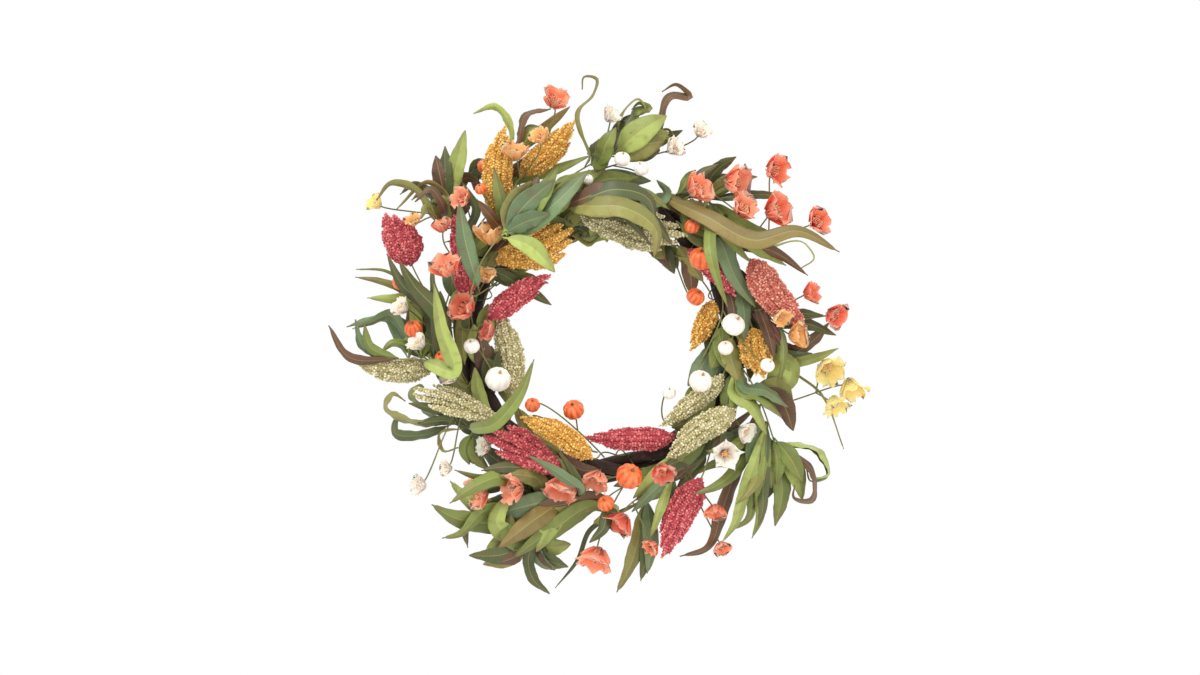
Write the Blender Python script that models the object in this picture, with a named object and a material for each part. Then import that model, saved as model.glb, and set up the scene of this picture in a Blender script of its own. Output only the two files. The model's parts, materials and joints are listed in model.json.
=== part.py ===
"""Harvest door wreath: a ring of twisted vine canes, wound with wire that holds picks of millet heads,
small pumpkins, blossoms and leaf sprays. X is to the right, Z is up, and the front faces -Y.
The origin is the point that a door hook holds: the top of the hanger loop's eye. Every pick lies clockwise
round the ring, as it was bound in. The plan and the functions here measure from the ring's centre; the last
step moves everything to the origin."""

import itertools
import math

import bmesh
import bpy
import numpy as np
from mathutils import Matrix, Vector

MM = 0.001

# Ring of canes
RING_RADIUS = 152 * MM  # centreline of the bundle
CANE_RADIUS = 7 * MM
CANE_TURNS = 5  # turns of each cane round the bundle
CANE_COUNT = 3
FLAT_DEPTH = 1.2 * MM  # how much of the canes' backs is shaved flat against the door

# Binding wire and the wire stems under it
WIRE_RADIUS = 0.8 * MM
WIRE_TURNS = 18
STEM_RADIUS = 1.1 * MM
TWIG_RADIUS = 0.8 * MM

# Hanger at the top of the back
LOOP_RADIUS = 13 * MM
LOOP_WIRE = 1.2 * MM
STAPLE_WIRE = 1.2 * MM
STAPLE_HALF_WIDTH = 9.5 * MM
STAPLE_INSIDE = 4.0 * MM  # room for the loop's wire under the staple

# Heads, pumpkins, blossoms and leaves: 1 is the size given in the planting plan
HEAD_FULLNESS = 1.0
PUMPKIN_SIZE = 1.0
BLOSSOM_SIZE = 1.0
LEAF_WIDTH = 1.0
LEAF_RIDGE = 1.1 * MM  # thickness of a leaf at its midrib

# Fits
GAP = 0.4 * MM  # between pieces that touch
WIND_GAP = 0.6 * MM  # between the stems and the wire over them
ROOM = 1.5 * MM  # between pieces that only pass each other
FOOT_LENGTH = 14 * MM  # how much of a stem lies under the binding wire

# Steps in which the shapes are sampled
CANE_STATIONS = 10  # per turn round the bundle
WIRE_STATIONS = 10  # per turn
ROUND_SIDES = 6
STEM_SIDES = 4
FINE = 3 * MM
SAG = 0.8 * MM  # how far a straight step may leave the curve that it stands for
LONGEST_STEP = 40 * MM
END_FIT = 3 * MM  # how far past its width the end of a shape may be from a corner of the joined body

FRONT = np.array((0.0, -1.0, 0.0))
PLAN_RADIUS = 152.0  # the planting plan is drawn for a ring of this radius, in mm
PLAN_STEP = 3 * MM  # a shape that has no room moves forward or back by this much at a time
PLAN_TRIES = 26
RING_OWNER = 0  # the canes and their wire, among the numbered picks
HANGER_OWNER = -1
ARCHES = (0.0, 8 * MM, -8 * MM, 18 * MM, -18 * MM)  # how far a side shape's stalk bows to the front
SLIDES = (0, 2, -2, 4, -4, 7, -7, 11, -11)  # degrees round the ring that it moves if that isn't enough
BRANCH_STEPS = (0, -3, 3, -7, 7, -14, 14)  # where it may leave the main stem, in samples from the nearest

lean_of_canes = math.atan2(CANE_RADIUS * CANE_TURNS * 1.25, RING_RADIUS)
TWIST_RADIUS = (2 * CANE_RADIUS / math.cos(lean_of_canes) + GAP) / (
    math.sqrt(3) * math.cos(math.pi / CANE_STATIONS)
)
BUNDLE_RADIUS = TWIST_RADIUS + CANE_RADIUS
FOOT_RADIUS = BUNDLE_RADIUS + GAP + STEM_RADIUS
BACK_LIMIT = BUNDLE_RADIUS  # nothing that is planted reaches further back, where the door is
WIND_RADIUS = (FOOT_RADIUS + STEM_RADIUS + WIND_GAP + WIRE_RADIUS) / math.cos(math.pi / WIRE_STATIONS)

COLOURS = {
    "bark": ((0.045, 0.022, 0.018), 0.85, 0.0),
    "wire": ((0.030, 0.045, 0.020), 0.45, 1.0),
    "gold": ((0.640, 0.330, 0.035), 0.80, 0.0),
    "red": ((0.480, 0.045, 0.055), 0.80, 0.0),
    "pink": ((0.560, 0.140, 0.110), 0.80, 0.0),
    "cream": ((0.560, 0.500, 0.270), 0.80, 0.0),
    "orange": ((0.780, 0.120, 0.020), 0.55, 0.0),
    "white": ((0.850, 0.800, 0.720), 0.60, 0.0),
    "coral": ((0.850, 0.150, 0.050), 0.70, 0.0),
    "apricot": ((0.820, 0.340, 0.060), 0.70, 0.0),
    "yellow": ((0.850, 0.620, 0.150), 0.70, 0.0),
    "petal": ((0.860, 0.760, 0.650), 0.70, 0.0),
    "leaf": ((0.150, 0.200, 0.045), 0.70, 0.0),
}

# The planting plan, in millimetres from the ring's centre: x to the right, z up, and reach to the front.
# A millet head: name, colour, foot of the head, tip of the head, width, reach, sideways bow
HEADS = (
    ("gold_millet_1", "gold", (-117, 134), (-107, 236), 30, 36, -4),
    ("gold_millet_2", "gold", (-89, 181), (-28, 243), 26, 24, 4),
    ("gold_millet_3", "gold", (-115, 83), (-31, 120), 44, 34, 3),
    ("gold_millet_4", "gold", (-8, -137), (-89, -90), 23, 24, 5),
    ("gold_millet_5", "gold", (172, 8), (184, -47), 32, 32, 2),
    ("gold_millet_6", "gold", (127, 41), (102, -16), 20, 22, -3),
    ("red_millet_1", "red", (-213, 81), (-243, 138), 36, 26, 3),
    ("red_millet_2", "red", (-150, 41), (-164, 137), 26, 40, 4),
    ("red_millet_3", "red", (-127, 18), (-55, 69), 24, 32, -3),
    ("red_millet_4", "red", (-39, -155), (-132, -106), 40, 40, 3),
    ("red_millet_5", "red", (86, -111), (-17, -114), 23, 28, -4),
    ("red_millet_6", "red", (114, -160), (70, -249), 30, 38, 4),
    ("pink_millet_1", "pink", (168, 86), (231, 10), 32, 42, 6),
    ("dark_red_millet_1", "red", (98, 98), (152, 45), 18, 20, -3),
    ("cream_millet_1", "cream", (-97, -71), (-114, 31), 28, 28, 3),
    ("cream_millet_2", "cream", (-189, -39), (-272, -34), 24, 18, -3),
    ("cream_millet_3", "cream", (-109, -100), (-213, -61), 26, 42, 5),
    ("cream_millet_4", "cream", (140, -42), (66, -102), 23, 32, -4),
    ("cream_millet_5", "cream", (152, -82), (75, -137), 27, 42, 4),
    ("cream_millet_6", "cream", (-23, 145), (98, 113), 40, 36, 8),
)

# A pick of round things: name, where its foot is, then (kind, colour, place, size, reach); the first one
# ends the main stem and the others branch from it
PICKS = (
    ("coral_trumpet_pick", (-70, 160), ("cup", "coral", (-52, 269), 26, 34)),
    ("coral_hanging_pick", (30, -160), ("cup", "coral", (-4, -253), 32, 34)),
    (
        "yellow_blossom_pick",
        (165, -30),
        ("cup", "yellow", (286, -57), 26, 36),
        ("cup", "yellow", (258, -37), 28, 44),
        ("cup", "yellow", (266, -75), 22, 30),
    ),
    (
        "coral_outer_pick",
        (130, 115),
        ("cup", "coral", (247, 130), 24, 34),
        ("cup", "coral", (199, 189), 26, 38),
        ("cup", "coral", (200, 143), 32, 52),
    ),
    (
        "orange_pumpkin_inner_pick",
        (10, -140),
        ("ball", "orange", (-78, -80), 18, 42),
        ("ball", "orange", (-31, -88), 25, 46),
    ),
    ("white_pumpkin_inner_pick", (90, -115), ("ball", "white", (80, -66), 16, 38)),
    (
        "orange_pumpkin_pick_1",
        (-150, 110),
        ("ball", "orange", (-132, 195), 19, 48),
        ("ball", "orange", (-135, 166), 14, 56),
    ),
    (
        "orange_pumpkin_pick_2",
        (-150, -60),
        ("ball", "orange", (-228, 61), 19, 44),
        ("ball", "orange", (-213, 8), 22, 48),
        ("ball", "orange", (-180, -25), 18, 54),
    ),
    (
        "orange_pumpkin_pick_3",
        (70, -140),
        ("ball", "orange", (7, -191), 20, 58),
        ("ball", "orange", (34, -163), 31, 66),
    ),
    (
        "orange_pumpkin_pick_4",
        (70, 145),
        ("ball", "orange", (111, 46), 22, 42),
        ("ball", "orange", (117, 90), 29, 54),
        ("ball", "orange", (105, 125), 18, 56),
    ),
    (
        "white_pumpkin_pick_1",
        (-85, -125),
        ("ball", "white", (-119, -51), 30, 58),
        ("ball", "white", (-147, -12), 19, 54),
    ),
    (
        "white_pumpkin_pick_2",
        (140, 60),
        ("ball", "white", (117, -52), 27, 56),
        ("ball", "white", (190, -33), 17, 54),
        ("ball", "white", (144, -13), 18, 52),
        ("ball", "white", (154, 14), 27, 58),
    ),
    (
        "apricot_blossom_pick",
        (-148, 40),
        ("cup", "apricot", (-67, 222), 18, 48),
        ("cup", "apricot", (-97, 207), 24, 56),
        ("cup", "apricot", (-126, 116), 30, 60),
        ("cup", "apricot", (-130, 67), 18, 54),
    ),
    (
        "red_blossom_pick",
        (-150, 70),
        ("cup", "yellow", (-254, 150), 16, 30),
        ("cup", "apricot", (-211, 130), 15, 46),
        ("cup", "coral", (-156, 156), 20, 54),
        ("cup", "coral", (-179, 124), 18, 56),
    ),
    (
        "coral_blossom_pick_1",
        (-145, -40),
        ("cup", "coral", (-174, 77), 28, 60),
        ("cup", "coral", (-156, 31), 28, 64),
        ("cup", "coral", (-128, 4), 18, 50),
    ),
    (
        "white_blossom_pick_1",
        (-135, -75),
        ("cup", "petal", (-226, 32), 22, 50),
        ("cup", "petal", (-206, -8), 22, 52),
        ("cup", "petal", (-170, -47), 20, 60),
        ("cup", "petal", (-132, -126), 20, 54),
        ("cup", "petal", (-174, -150), 16, 34),
        ("cup", "petal", (-205, -170), 20, 34),
    ),
    (
        "coral_blossom_pick_2",
        (35, -150),
        ("cup", "coral", (-138, -179), 28, 44),
        ("cup", "coral", (-97, -175), 28, 56),
        ("cup", "coral", (-44, -173), 32, 62),
        ("cup", "coral", (-3, -164), 26, 58),
    ),
    (
        "coral_blossom_pick_3",
        (110, -110),
        ("cup", "coral", (24, -212), 28, 54),
        ("cup", "coral", (59, -238), 16, 44),
        ("cup", "coral", (71, -154), 24, 60),
        ("cup", "coral", (131, -198), 20, 46),
        ("cup", "coral", (138, -239), 16, 34),
    ),
    (
        "white_blossom_pick_2",
        (155, -60),
        ("cup", "petal", (144, -135), 34, 62),
        ("cup", "petal", (165, -108), 22, 52),
    ),
    (
        "coral_blossom_pick_4",
        (60, 145),
        ("cup", "coral", (154, 177), 32, 48),
        ("cup", "coral", (110, 168), 28, 58),
        ("cup", "coral", (162, 145), 26, 60),
    ),
    (
        "coral_blossom_pick_5",
        (145, 75),
        ("cup", "apricot", (223, 1), 24, 50),
        ("cup", "apricot", (203, 22), 18, 56),
        ("cup", "coral", (266, 24), 24, 40),
        ("cup", "coral", (238, 48), 20, 46),
    ),
    (
        "cream_pod_pick",
        (-60, 142),
        ("cup", "petal", (115, 233), 20, 30),
        ("cup", "petal", (84, 214), 22, 44),
        ("ball", "white", (47, 191), 18, 54),
        ("ball", "white", (25, 202), 19, 52),
        ("ball", "white", (-14, 178), 13, 50),
        ("cup", "petal", (12, 250), 20, 36),
    ),
)

# A leaf spray: name, reach, route of its stem, then leaves: (width, reach, turn, points from base to tip).
# Turn is how far a leaf is rolled about its own length, in degrees: 0 shows its face, 90 its edge.
SPRAYS = (
    (
        "leaf_spray_1",
        18,
        ((70, -168), (25, -200), (-6, -212)),
        (20, 30, 20, (-2, -193), (-50, -216), (-98, -250)),
        (6, 22, 10, (-11, -221), (-26, -256), (-51, -287)),
        (16, 20, 25, (45, -221), (34, -260), (19, -290)),
        (12, 36, -20, (11, -198), (4, -216), (-12, -232)),
        (10, 40, -25, (74, -158), (68, -195), (57, -226)),
    ),
    (
        "leaf_spray_2",
        14,
        ((-30, -178), (-60, -205), (-82, -240)),
        (20, 42, -15, (-40, -189), (-78, -210), (-114, -238)),
        (16, 24, 20, (-80, -241), (-112, -247), (-148, -248)),
        (12, 18, -20, (-81, -253), (-76, -274), (-57, -292)),
        (20, 50, 20, (-100, -225), (-116, -210), (-102, -176)),
        (16, 14, -30, (-70, -226), (-64, -250), (-36, -262)),
        (13, 22, 25, (-26, -166), (-52, -148), (-80, -132)),
        (22, 30, 20, (-142, -210), (-166, -204), (-190, -190)),
        (14, 20, -20, (-134, -206), (-152, -216), (-150, -240)),
        (18, 44, -20, (-108, -158), (-140, -168), (-168, -187)),
        (10, 30, 15, (-110, -162), (-140, -160), (-165, -152)),
        (14, 22, 25, (-128, -196), (-160, -224), (-178, -228)),
    ),
    (
        "leaf_spray_3",
        14,
        ((-128, -112), (-150, -104), (-172, -98)),
        (14, 20, 60, (-171, -101), (-216, -96), (-243, -80), (-234, -65), (-220, -74)),
        (10, 28, 10, (-173, -88), (-196, -80), (-216, -76)),
        (8, 30, 70, (-154, -108), (-182, -112), (-176, -130), (-160, -126)),
        (12, 20, 20, (-150, -112), (-142, -134), (-125, -152)),
        (14, 22, -20, (-122, -100), (-90, -66), (-73, -26)),
    ),
    (
        "leaf_spray_4",
        10,
        ((-150, -58), (-186, -30), (-228, -26)),
        (10, 20, 30, (-232, -26), (-285, -22), (-306, 12)),
        (10, 16, -20, (-205, -20), (-236, -8), (-249, -20)),
        (16, 38, 15, (-165, -40), (-176, 10), (-184, 58)),
        (15, 28, -20, (-178, -26), (-200, 20), (-218, 49)),
        (13, 22, 10, (-214, 40), (-238, 42), (-263, 43)),
        (10, 26, -20, (-216, 46), (-248, 62), (-278, 67)),
        (5, 14, 20, (-212, 48), (-244, 74), (-278, 76)),
        (13, 34, 15, (-193, 30), (-222, 58), (-239, 92)),
        (18, 20, -20, (-180, 22), (-208, 56), (-225, 84)),
    ),
    (
        "leaf_spray_5",
        14,
        ((-158, 66), (-178, 110), (-172, 150)),
        (10, 30, 45, (-186, 132), (-212, 168), (-236, 171), (-251, 152)),
        (6, 36, 45, (-172, 156), (-192, 173), (-230, 142)),
        (11, 44, -40, (-175, 140), (-191, 164), (-207, 150)),
        (17, 30, 15, (-172, 158), (-160, 200), (-152, 232)),
        (9, 22, 20, (-162, 110), (-140, 140), (-158, 177)),
        (14, 18, -25, (-168, 140), (-150, 180), (-134, 171)),
    ),
    (
        "leaf_spray_6",
        20,
        ((-144, 46), (-132, 82), (-108, 116)),
        (17, 30, -15, (-138, 61), (-150, 104), (-157, 149)),
        (15, 46, 15, (-104, 120), (-112, 156), (-119, 189)),
        (22, 22, -20, (-100, 118), (-80, 150), (-51, 174)),
        (20, 34, 20, (-94, 116), (-48, 150), (-12, 186)),
        (18, 54, 15, (-110, 112), (-78, 100), (-50, 71)),
        (14, 18, -20, (-120, 70), (-88, 56), (-55, 35)),
    ),
    (
        "leaf_spray_7",
        14,
        ((-122, 146), (-112, 186), (-92, 222)),
        (9, 26, 40, (-100, 230), (-119, 259), (-143, 251)),
        (10, 34, 45, (-91, 222), (-83, 248), (-55, 255)),
        (14, 16, -20, (-90, 216), (-60, 240), (-34, 262)),
        (14, 50, 10, (-104, 172), (-52, 188), (-10, 205)),
        (12, 20, 20, (-118, 180), (-140, 196), (-150, 176)),
    ),
    (
        "leaf_spray_8",
        14,
        ((-48, 172), (-8, 196), (34, 214)),
        (26, 36, 10, (23, 212), (48, 232), (75, 248)),
        (22, 24, -20, (34, 212), (56, 222), (78, 230)),
        (12, 30, 50, (60, 226), (82, 272), (101, 270), (86, 284), (70, 276)),
        (6, 22, 70, (20, 214), (28, 256), (44, 268), (52, 254), (40, 248)),
        (7, 30, 60, (-12, 200), (-24, 254), (-8, 270), (-4, 288), (-18, 290), (-20, 276)),
        (18, 44, 15, (0, 200), (8, 218), (18, 234)),
        (14, 16, -20, (34, 218), (66, 222), (94, 234)),
    ),
    (
        "leaf_spray_9",
        18,
        ((-66, 138), (-28, 148), (16, 146)),
        (18, 46, -15, (-23, 155), (12, 164), (45, 164)),
        (16, 30, 40, (20, 146), (56, 148), (76, 162), (64, 176)),
        (10, 26, 60, (-32, 146), (-28, 116), (-12, 104), (0, 114)),
        (14, 22, 15, (-10, 146), (4, 130), (8, 106)),
        (10, 26, -20, (22, 142), (42, 120), (57, 102)),
        (22, 20, 25, (26, 142), (62, 116), (60, 86)),
        (16, 16, 20, (20, 140), (60, 128), (82, 100)),
    ),
    (
        "leaf_spray_10",
        16,
        ((62, 160), (100, 158), (128, 152)),
        (10, 26, 15, (98, 164), (118, 186), (134, 194)),
        (14, 20, -20, (120, 158), (150, 178), (178, 180)),
        (8, 48, 30, (126, 158), (120, 152), (114, 140)),
        (22, 34, 20, (112, 138), (134, 124), (156, 126)),
        (18, 26, -15, (132, 146), (166, 122), (201, 112)),
        (12, 18, 20, (130, 154), (174, 160), (212, 158)),
        (18, 30, 15, (172, 106), (218, 116), (265, 93)),
        (14, 36, -20, (160, 106), (198, 94), (234, 68)),
        (6, 24, 70, (176, 100), (232, 104), (242, 88), (226, 76)),
        (20, 22, 20, (137, 104), (152, 66), (175, 32)),
        (12, 20, -20, (122, 94), (130, 62), (141, 32)),
    ),
    (
        "leaf_spray_11",
        14,
        ((160, 52), (186, 14), (206, -18)),
        (12, 38, 15, (179, 30), (190, 0), (196, -27)),
        (8, 46, -20, (200, 7), (206, -26), (199, -56)),
        (18, 24, 15, (210, -14), (216, -40), (208, -67)),
        (13, 30, -15, (212, -28), (240, -26), (270, -14)),
        (12, 20, 20, (196, 10), (232, 14), (267, 1)),
        (3, 26, 0, (210, -30), (252, -66), (278, -129)),
    ),
    (
        "leaf_spray_12",
        16,
        ((160, -36), (182, -76), (198, -122)),
        (16, 46, 30, (150, -60), (170, -78), (187, -111)),
        (20, 30, -20, (178, -60), (206, -76), (218, -107)),
        (18, 26, 15, (186, -112), (192, -142), (193, -172)),
        (18, 36, -20, (199, -124), (216, -140), (228, -164)),
        (18, 20, 20, (199, -134), (206, -176), (198, -215)),
        (12, 28, 60, (202, -130), (242, -160), (238, -186), (218, -182), (220, -168)),
        (13, 30, 15, (160, -184), (152, -210), (137, -232)),
        (13, 44, -20, (146, -158), (126, -170), (104, -177)),
        (16, 22, 30, (138, -196), (120, -240), (90, -249)),
        (12, 24, 20, (150, -140), (128, -146), (108, -158)),
    ),
)

# The picks that stand clear of their neighbours: their wire bends at the foot, by this many degrees each way
BENDING = {
    "coral_trumpet_pick": 12,
    "coral_hanging_pick": 12,
    "yellow_blossom_pick": 8,
    "coral_outer_pick": 6,
    "orange_pumpkin_inner_pick": 10,
    "white_pumpkin_inner_pick": 15,
}
BEND_POSES = (-1.0, -0.5, 0.0, 0.5, 1.0)


def clear_scene():
    for found in list(bpy.data.objects):
        bpy.data.objects.remove(found, do_unlink=True)


def material(colour):
    """The Principled material of one colour, made once."""
    found = bpy.data.materials.get(colour)
    if found:
        return found
    made = bpy.data.materials.new(colour)
    made.use_nodes = True
    base, roughness, metallic = COLOURS[colour]
    shader = made.node_tree.nodes["Principled BSDF"]
    shader.inputs["Base Color"].default_value = (*base, 1.0)
    shader.inputs["Roughness"].default_value = roughness
    shader.inputs["Metallic"].default_value = metallic
    return made


# Shapes along a path


def unit(vector):
    return vector / max(np.linalg.norm(vector), 1e-9)


def planted(place, reach):
    """A place of the planting plan as a point. It keeps its distance from the ring when the ring changes."""
    x, z = place
    radius = math.hypot(x, z)
    share = (RING_RADIUS + (radius - PLAN_RADIUS) * MM) / radius
    return np.array((x * share, -reach * MM, z * share))


def near_ring(flow, offset, lean):
    """A point beside the ring: flow runs clockwise from the bottom, and lean runs round the bundle from
    outwards through the front."""
    outwards = np.array((-math.sin(flow), 0.0, -math.cos(flow)))
    return outwards * (RING_RADIUS + offset * math.cos(lean)) + FRONT * offset * math.sin(lean)


def flow_of(point):
    return math.atan2(-point[0], -point[2])


def upstream_of(point):
    """The flow at which a stem leaves the ring to reach a point, further back the further out it lies."""
    away = abs(math.hypot(point[0], point[2]) - RING_RADIUS)
    return flow_of(point) - min(0.22 + 0.5 * away / RING_RADIUS, 0.5)


def smooth_path(points, spacing=FINE):
    """Even points along a smooth curve through the given ones."""
    points = np.asarray(points, float)
    gaps = np.linalg.norm(np.diff(points, axis=0), axis=1)
    slopes = np.diff(points, axis=0) / gaps[:, None]
    tangents = np.vstack((slopes[:1], slopes[:-1], slopes[-1:]))[: len(points)]
    for i in range(1, len(points) - 1):
        before, after = gaps[i - 1], gaps[i]
        tangents[i] = (slopes[i - 1] * after + slopes[i] * before) / (before + after)
    tangents[-1] = slopes[-1]
    pieces = [points[:1]]
    for i, gap in enumerate(gaps):
        t = (np.arange(1, 13) / 12)[:, None]
        pieces.append(
            (2 * t**3 - 3 * t**2 + 1) * points[i]
            + (t**3 - 2 * t**2 + t) * gap * tangents[i]
            + (3 * t**2 - 2 * t**3) * points[i + 1]
            + (t**3 - t**2) * gap * tangents[i + 1]
        )
    dense = np.vstack(pieces)
    along = np.concatenate(((0.0,), np.cumsum(np.linalg.norm(np.diff(dense, axis=0), axis=1))))
    even = np.linspace(0.0, along[-1], max(3, round(along[-1] / spacing) + 1))
    return np.column_stack([np.interp(even, along, dense[:, axis]) for axis in range(3)])


def frames(path):
    """Unit vectors ahead, across and out at each point of a path; across lies in the plane of the wreath."""
    ahead = np.gradient(path, axis=0)
    ahead /= np.linalg.norm(ahead, axis=1)[:, None]
    across = np.cross(ahead, FRONT)
    for i in range(len(path)):
        if i:
            across[i] *= 1.0 if across[i].dot(across[i - 1]) > 0 else -1.0
            across[i] += 0.3 * across[i - 1]
        across[i] = unit(across[i] - ahead[i] * across[i].dot(ahead[i]))
    return ahead, across, np.cross(across, ahead)


class Shape:
    """A closed body swept along a path, with its half width and half depth at each point."""

    def __init__(self, path, wide, deep, turn=0.0, blade=False):
        self.path = path
        self.wide = wide
        self.deep = deep
        self.turn = turn
        self.blade = blade

    def cross_axes(self):
        _, across, out = frames(self.path)
        c, s = math.cos(self.turn), math.sin(self.turn)
        return across * c + out * s, out * c - across * s

    def spheres(self):
        """Small spheres that cover the body: centres and radii."""
        side, _ = self.cross_axes()
        centres, radii = [], []
        for point, axis, wide, deep in zip(self.path, side, self.wide, self.deep):
            ball = max(deep, 1.0 * MM)
            spread = max(wide - ball, 0.0)
            count = 2 * math.ceil(spread / (1.6 * max(ball, 1.2 * MM))) + 1 if spread else 1
            for offset in np.linspace(-spread, spread, count):
                centres.append(point + axis * offset)
                radii.append(ball)
        return np.array(centres), np.array(radii)

    def stations(self):
        """The points that the solid needs: its ends, its bends and where its width changes."""
        ahead, _, _ = frames(self.path)
        kept = [0]
        for i in range(1, len(self.path) - 1):
            last = kept[-1]
            angle = math.acos(np.clip(ahead[i].dot(ahead[last]), -1, 1))
            run = np.linalg.norm(self.path[i] - self.path[last])
            widest = max(self.wide[i], self.wide[last])
            grown = abs(self.wide[i] - self.wide[last]) > max(0.5 * widest, 1.5 * MM)
            if angle * run / 8 > SAG or run > LONGEST_STEP or grown:
                kept.append(i)
        kept.append(len(self.path) - 1)
        return kept

    def mesh(self, name):
        side, out = self.cross_axes()
        if self.blade:
            corners = ((-1.0, 0.0), (0.0, 1.0), (1.0, 0.0))
        else:
            sides = ROUND_SIDES if self.wide.max() > 3 * STEM_RADIUS else STEM_SIDES
            angles = [2 * math.pi * k / sides for k in range(sides)]
            corners = [(math.cos(a), math.sin(a)) for a in angles]
        kept = self.stations()
        vertices = [
            self.path[i] + side[i] * x * self.wide[i] + out[i] * y * self.deep[i]
            for i in kept
            for x, y in corners
        ]
        return swept_mesh(name, vertices, len(corners), closed=False)


def swept_mesh(name, vertices, count, closed):
    """A mesh from rings of count vertices each, joined end to end or shut with flat caps."""
    rings = len(vertices) // count
    faces = []
    for r in range(rings if closed else rings - 1):
        near, far = r * count, (r + 1) % rings * count
        for k in range(count):
            nxt = (k + 1) % count
            faces.append((near + k, near + nxt, far + nxt, far + k))
    if not closed:
        faces.append(tuple(range(count))[::-1])
        faces.append(tuple(range((rings - 1) * count, rings * count)))
    mesh = bpy.data.meshes.new(name)
    mesh.from_pydata([tuple(v) for v in vertices], [], faces)
    volume = sum(
        mesh.vertices[f.vertices[0]].co.dot(
            mesh.vertices[f.vertices[k]].co.cross(mesh.vertices[f.vertices[k + 1]].co)
        )
        for f in mesh.polygons
        for k in range(1, len(f.vertices) - 1)
    )
    if volume < 0:
        mesh.flip_normals()
    return mesh


def add_object(name, mesh, colour):
    made = bpy.data.objects.new(name, mesh)
    bpy.context.scene.collection.objects.link(made)
    mesh.materials.clear()
    mesh.materials.append(material(colour))
    mesh.shade_smooth()
    mesh.set_sharp_from_angle(angle=math.radians(40))
    return made


def move_origin(made, place):
    """Puts an object's origin at a place and leaves its shape where it is."""
    made.data.transform(Matrix.Translation(-Vector(place)))
    made.location = place


def is_closed(mesh):
    """Whether every edge has two faces once corners less than a micron apart count as one."""
    work = bmesh.new()
    work.from_mesh(mesh)
    bmesh.ops.remove_doubles(work, verts=work.verts, dist=0.001 * MM)
    closed = all(len(edge.link_faces) == 2 for edge in work.edges)
    work.free()
    return closed


def has_every_end(mesh, shapes):
    """Whether the far end of every shape is still on the mesh, so that none was left out."""
    corners = np.array([v.co for v in mesh.vertices])
    apart = [np.linalg.norm(corners - shape.path[-1], axis=1).min() - shape.wide[-1] for shape in shapes]
    return max(apart) < END_FIT


def combined(name, meshes, colour, operation="UNION", solver="EXACT"):
    """The first mesh united with, or cut by, the others."""
    result = add_object(name, meshes[0], colour)
    for mesh in meshes[1:]:
        tool = add_object(name + "_tool", mesh, colour)
        step = result.modifiers.new("fuse", "BOOLEAN")
        step.operation = operation
        step.solver = solver
        step.object = tool
        shown = bpy.context.evaluated_depsgraph_get()
        fused = bpy.data.meshes.new_from_object(result.evaluated_get(shown))
        result.modifiers.clear()
        result.data = fused
        bpy.data.objects.remove(tool, do_unlink=True)
    result.data = outer_skin(result.data)
    result.data.name = name
    result.data.shade_smooth()
    result.data.set_sharp_from_angle(angle=math.radians(40))
    return result


def outer_skin(mesh):
    """The mesh without the walls of pockets that its crossing blades shut in."""
    work = bmesh.new()
    work.from_mesh(mesh)
    left, islands = set(work.faces), []
    while left:
        found, edge = set(), [left.pop()]
        while edge:
            face = edge.pop()
            found.add(face)
            for loop in face.loops:
                for other in loop.edge.link_faces:
                    if other in left:
                        left.remove(other)
                        edge.append(other)
        islands.append(found)
    islands.sort(key=len)
    bmesh.ops.delete(work, geom=[f for island in islands[:-1] for f in island], context="FACES")
    work.to_mesh(mesh)
    work.free()
    return mesh


# Profiles: half widths at shares of a body's length


def head_profile(share):
    return np.clip(share / 0.16, 0, 1) ** 0.6 * np.clip((1.0 - share) / 0.42, 0, 1) ** 0.55


def ball_profile(share):
    return np.sqrt(np.clip(1.0 - (2.0 * share - 1.0) ** 2, 0, 1))


def cup_profile(share):
    return np.clip(0.16 + 0.84 * share**0.8, 0, 1)


def leaf_profile(share):
    return np.sin(math.pi * np.clip(share, 0, 1) ** 0.85) ** 0.75


class Bed:
    """What is planted so far, as spheres, each with the number of the pick that it belongs to."""

    def __init__(self):
        self.centres = np.empty((0, 3))
        self.radii = np.empty(0)
        self.owners = np.empty(0, int)
        self.feet = set()

    def add(self, centres, radii, owner):
        self.centres = np.vstack((self.centres, centres))
        self.radii = np.concatenate((self.radii, radii))
        self.owners = np.concatenate((self.owners, np.full(len(radii), owner)))

    def is_free(self, centres, radii, owner, at_foot=False, alone=False):
        """Whether spheres pass everything planted. A pick may touch itself unless it has to stand alone,
        and its foot may touch the ring."""
        if (centres[:, 1] + radii).max() > BACK_LIMIT and not at_foot:
            return False
        low = (centres - radii[:, None]).min(0) - ROOM
        high = (centres + radii[:, None]).max(0) + ROOM
        reach = self.radii[:, None]
        near = ((self.centres + reach > low) & (self.centres - reach < high)).all(1)
        if not alone:
            near &= self.owners != owner
        if at_foot:
            near &= self.owners != RING_OWNER
        if not near.any():
            return True
        others, sizes = self.centres[near], self.radii[near] + ROOM
        for every in (6, 1):
            some, own = centres[::every], radii[::every]
            apart = np.linalg.norm(some[:, None] - others[None], axis=2)
            if (apart <= own[:, None] + sizes[None]).any():
                return False
        return True


def turned(points, axis_point, angle):
    """Points turned about the line through axis_point along Y."""
    c, s = math.cos(angle), math.sin(angle)
    moved = points - axis_point
    x = moved[:, 0] * c + moved[:, 2] * s
    z = moved[:, 2] * c - moved[:, 0] * s
    return np.column_stack((x, moved[:, 1], z)) + axis_point


def shifted(points, slide, shift):
    """Points moved round the ring by so many degrees, and to the front."""
    around = turned(np.array(points), np.zeros(3), math.radians(slide)) if slide else points
    return [p + FRONT * shift for p in around]


def depths():
    """Shifts to try, the smallest first."""
    return [0.0] + [sign * k * PLAN_STEP for k in range(1, PLAN_TRIES) for sign in (1, -1)]


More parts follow.
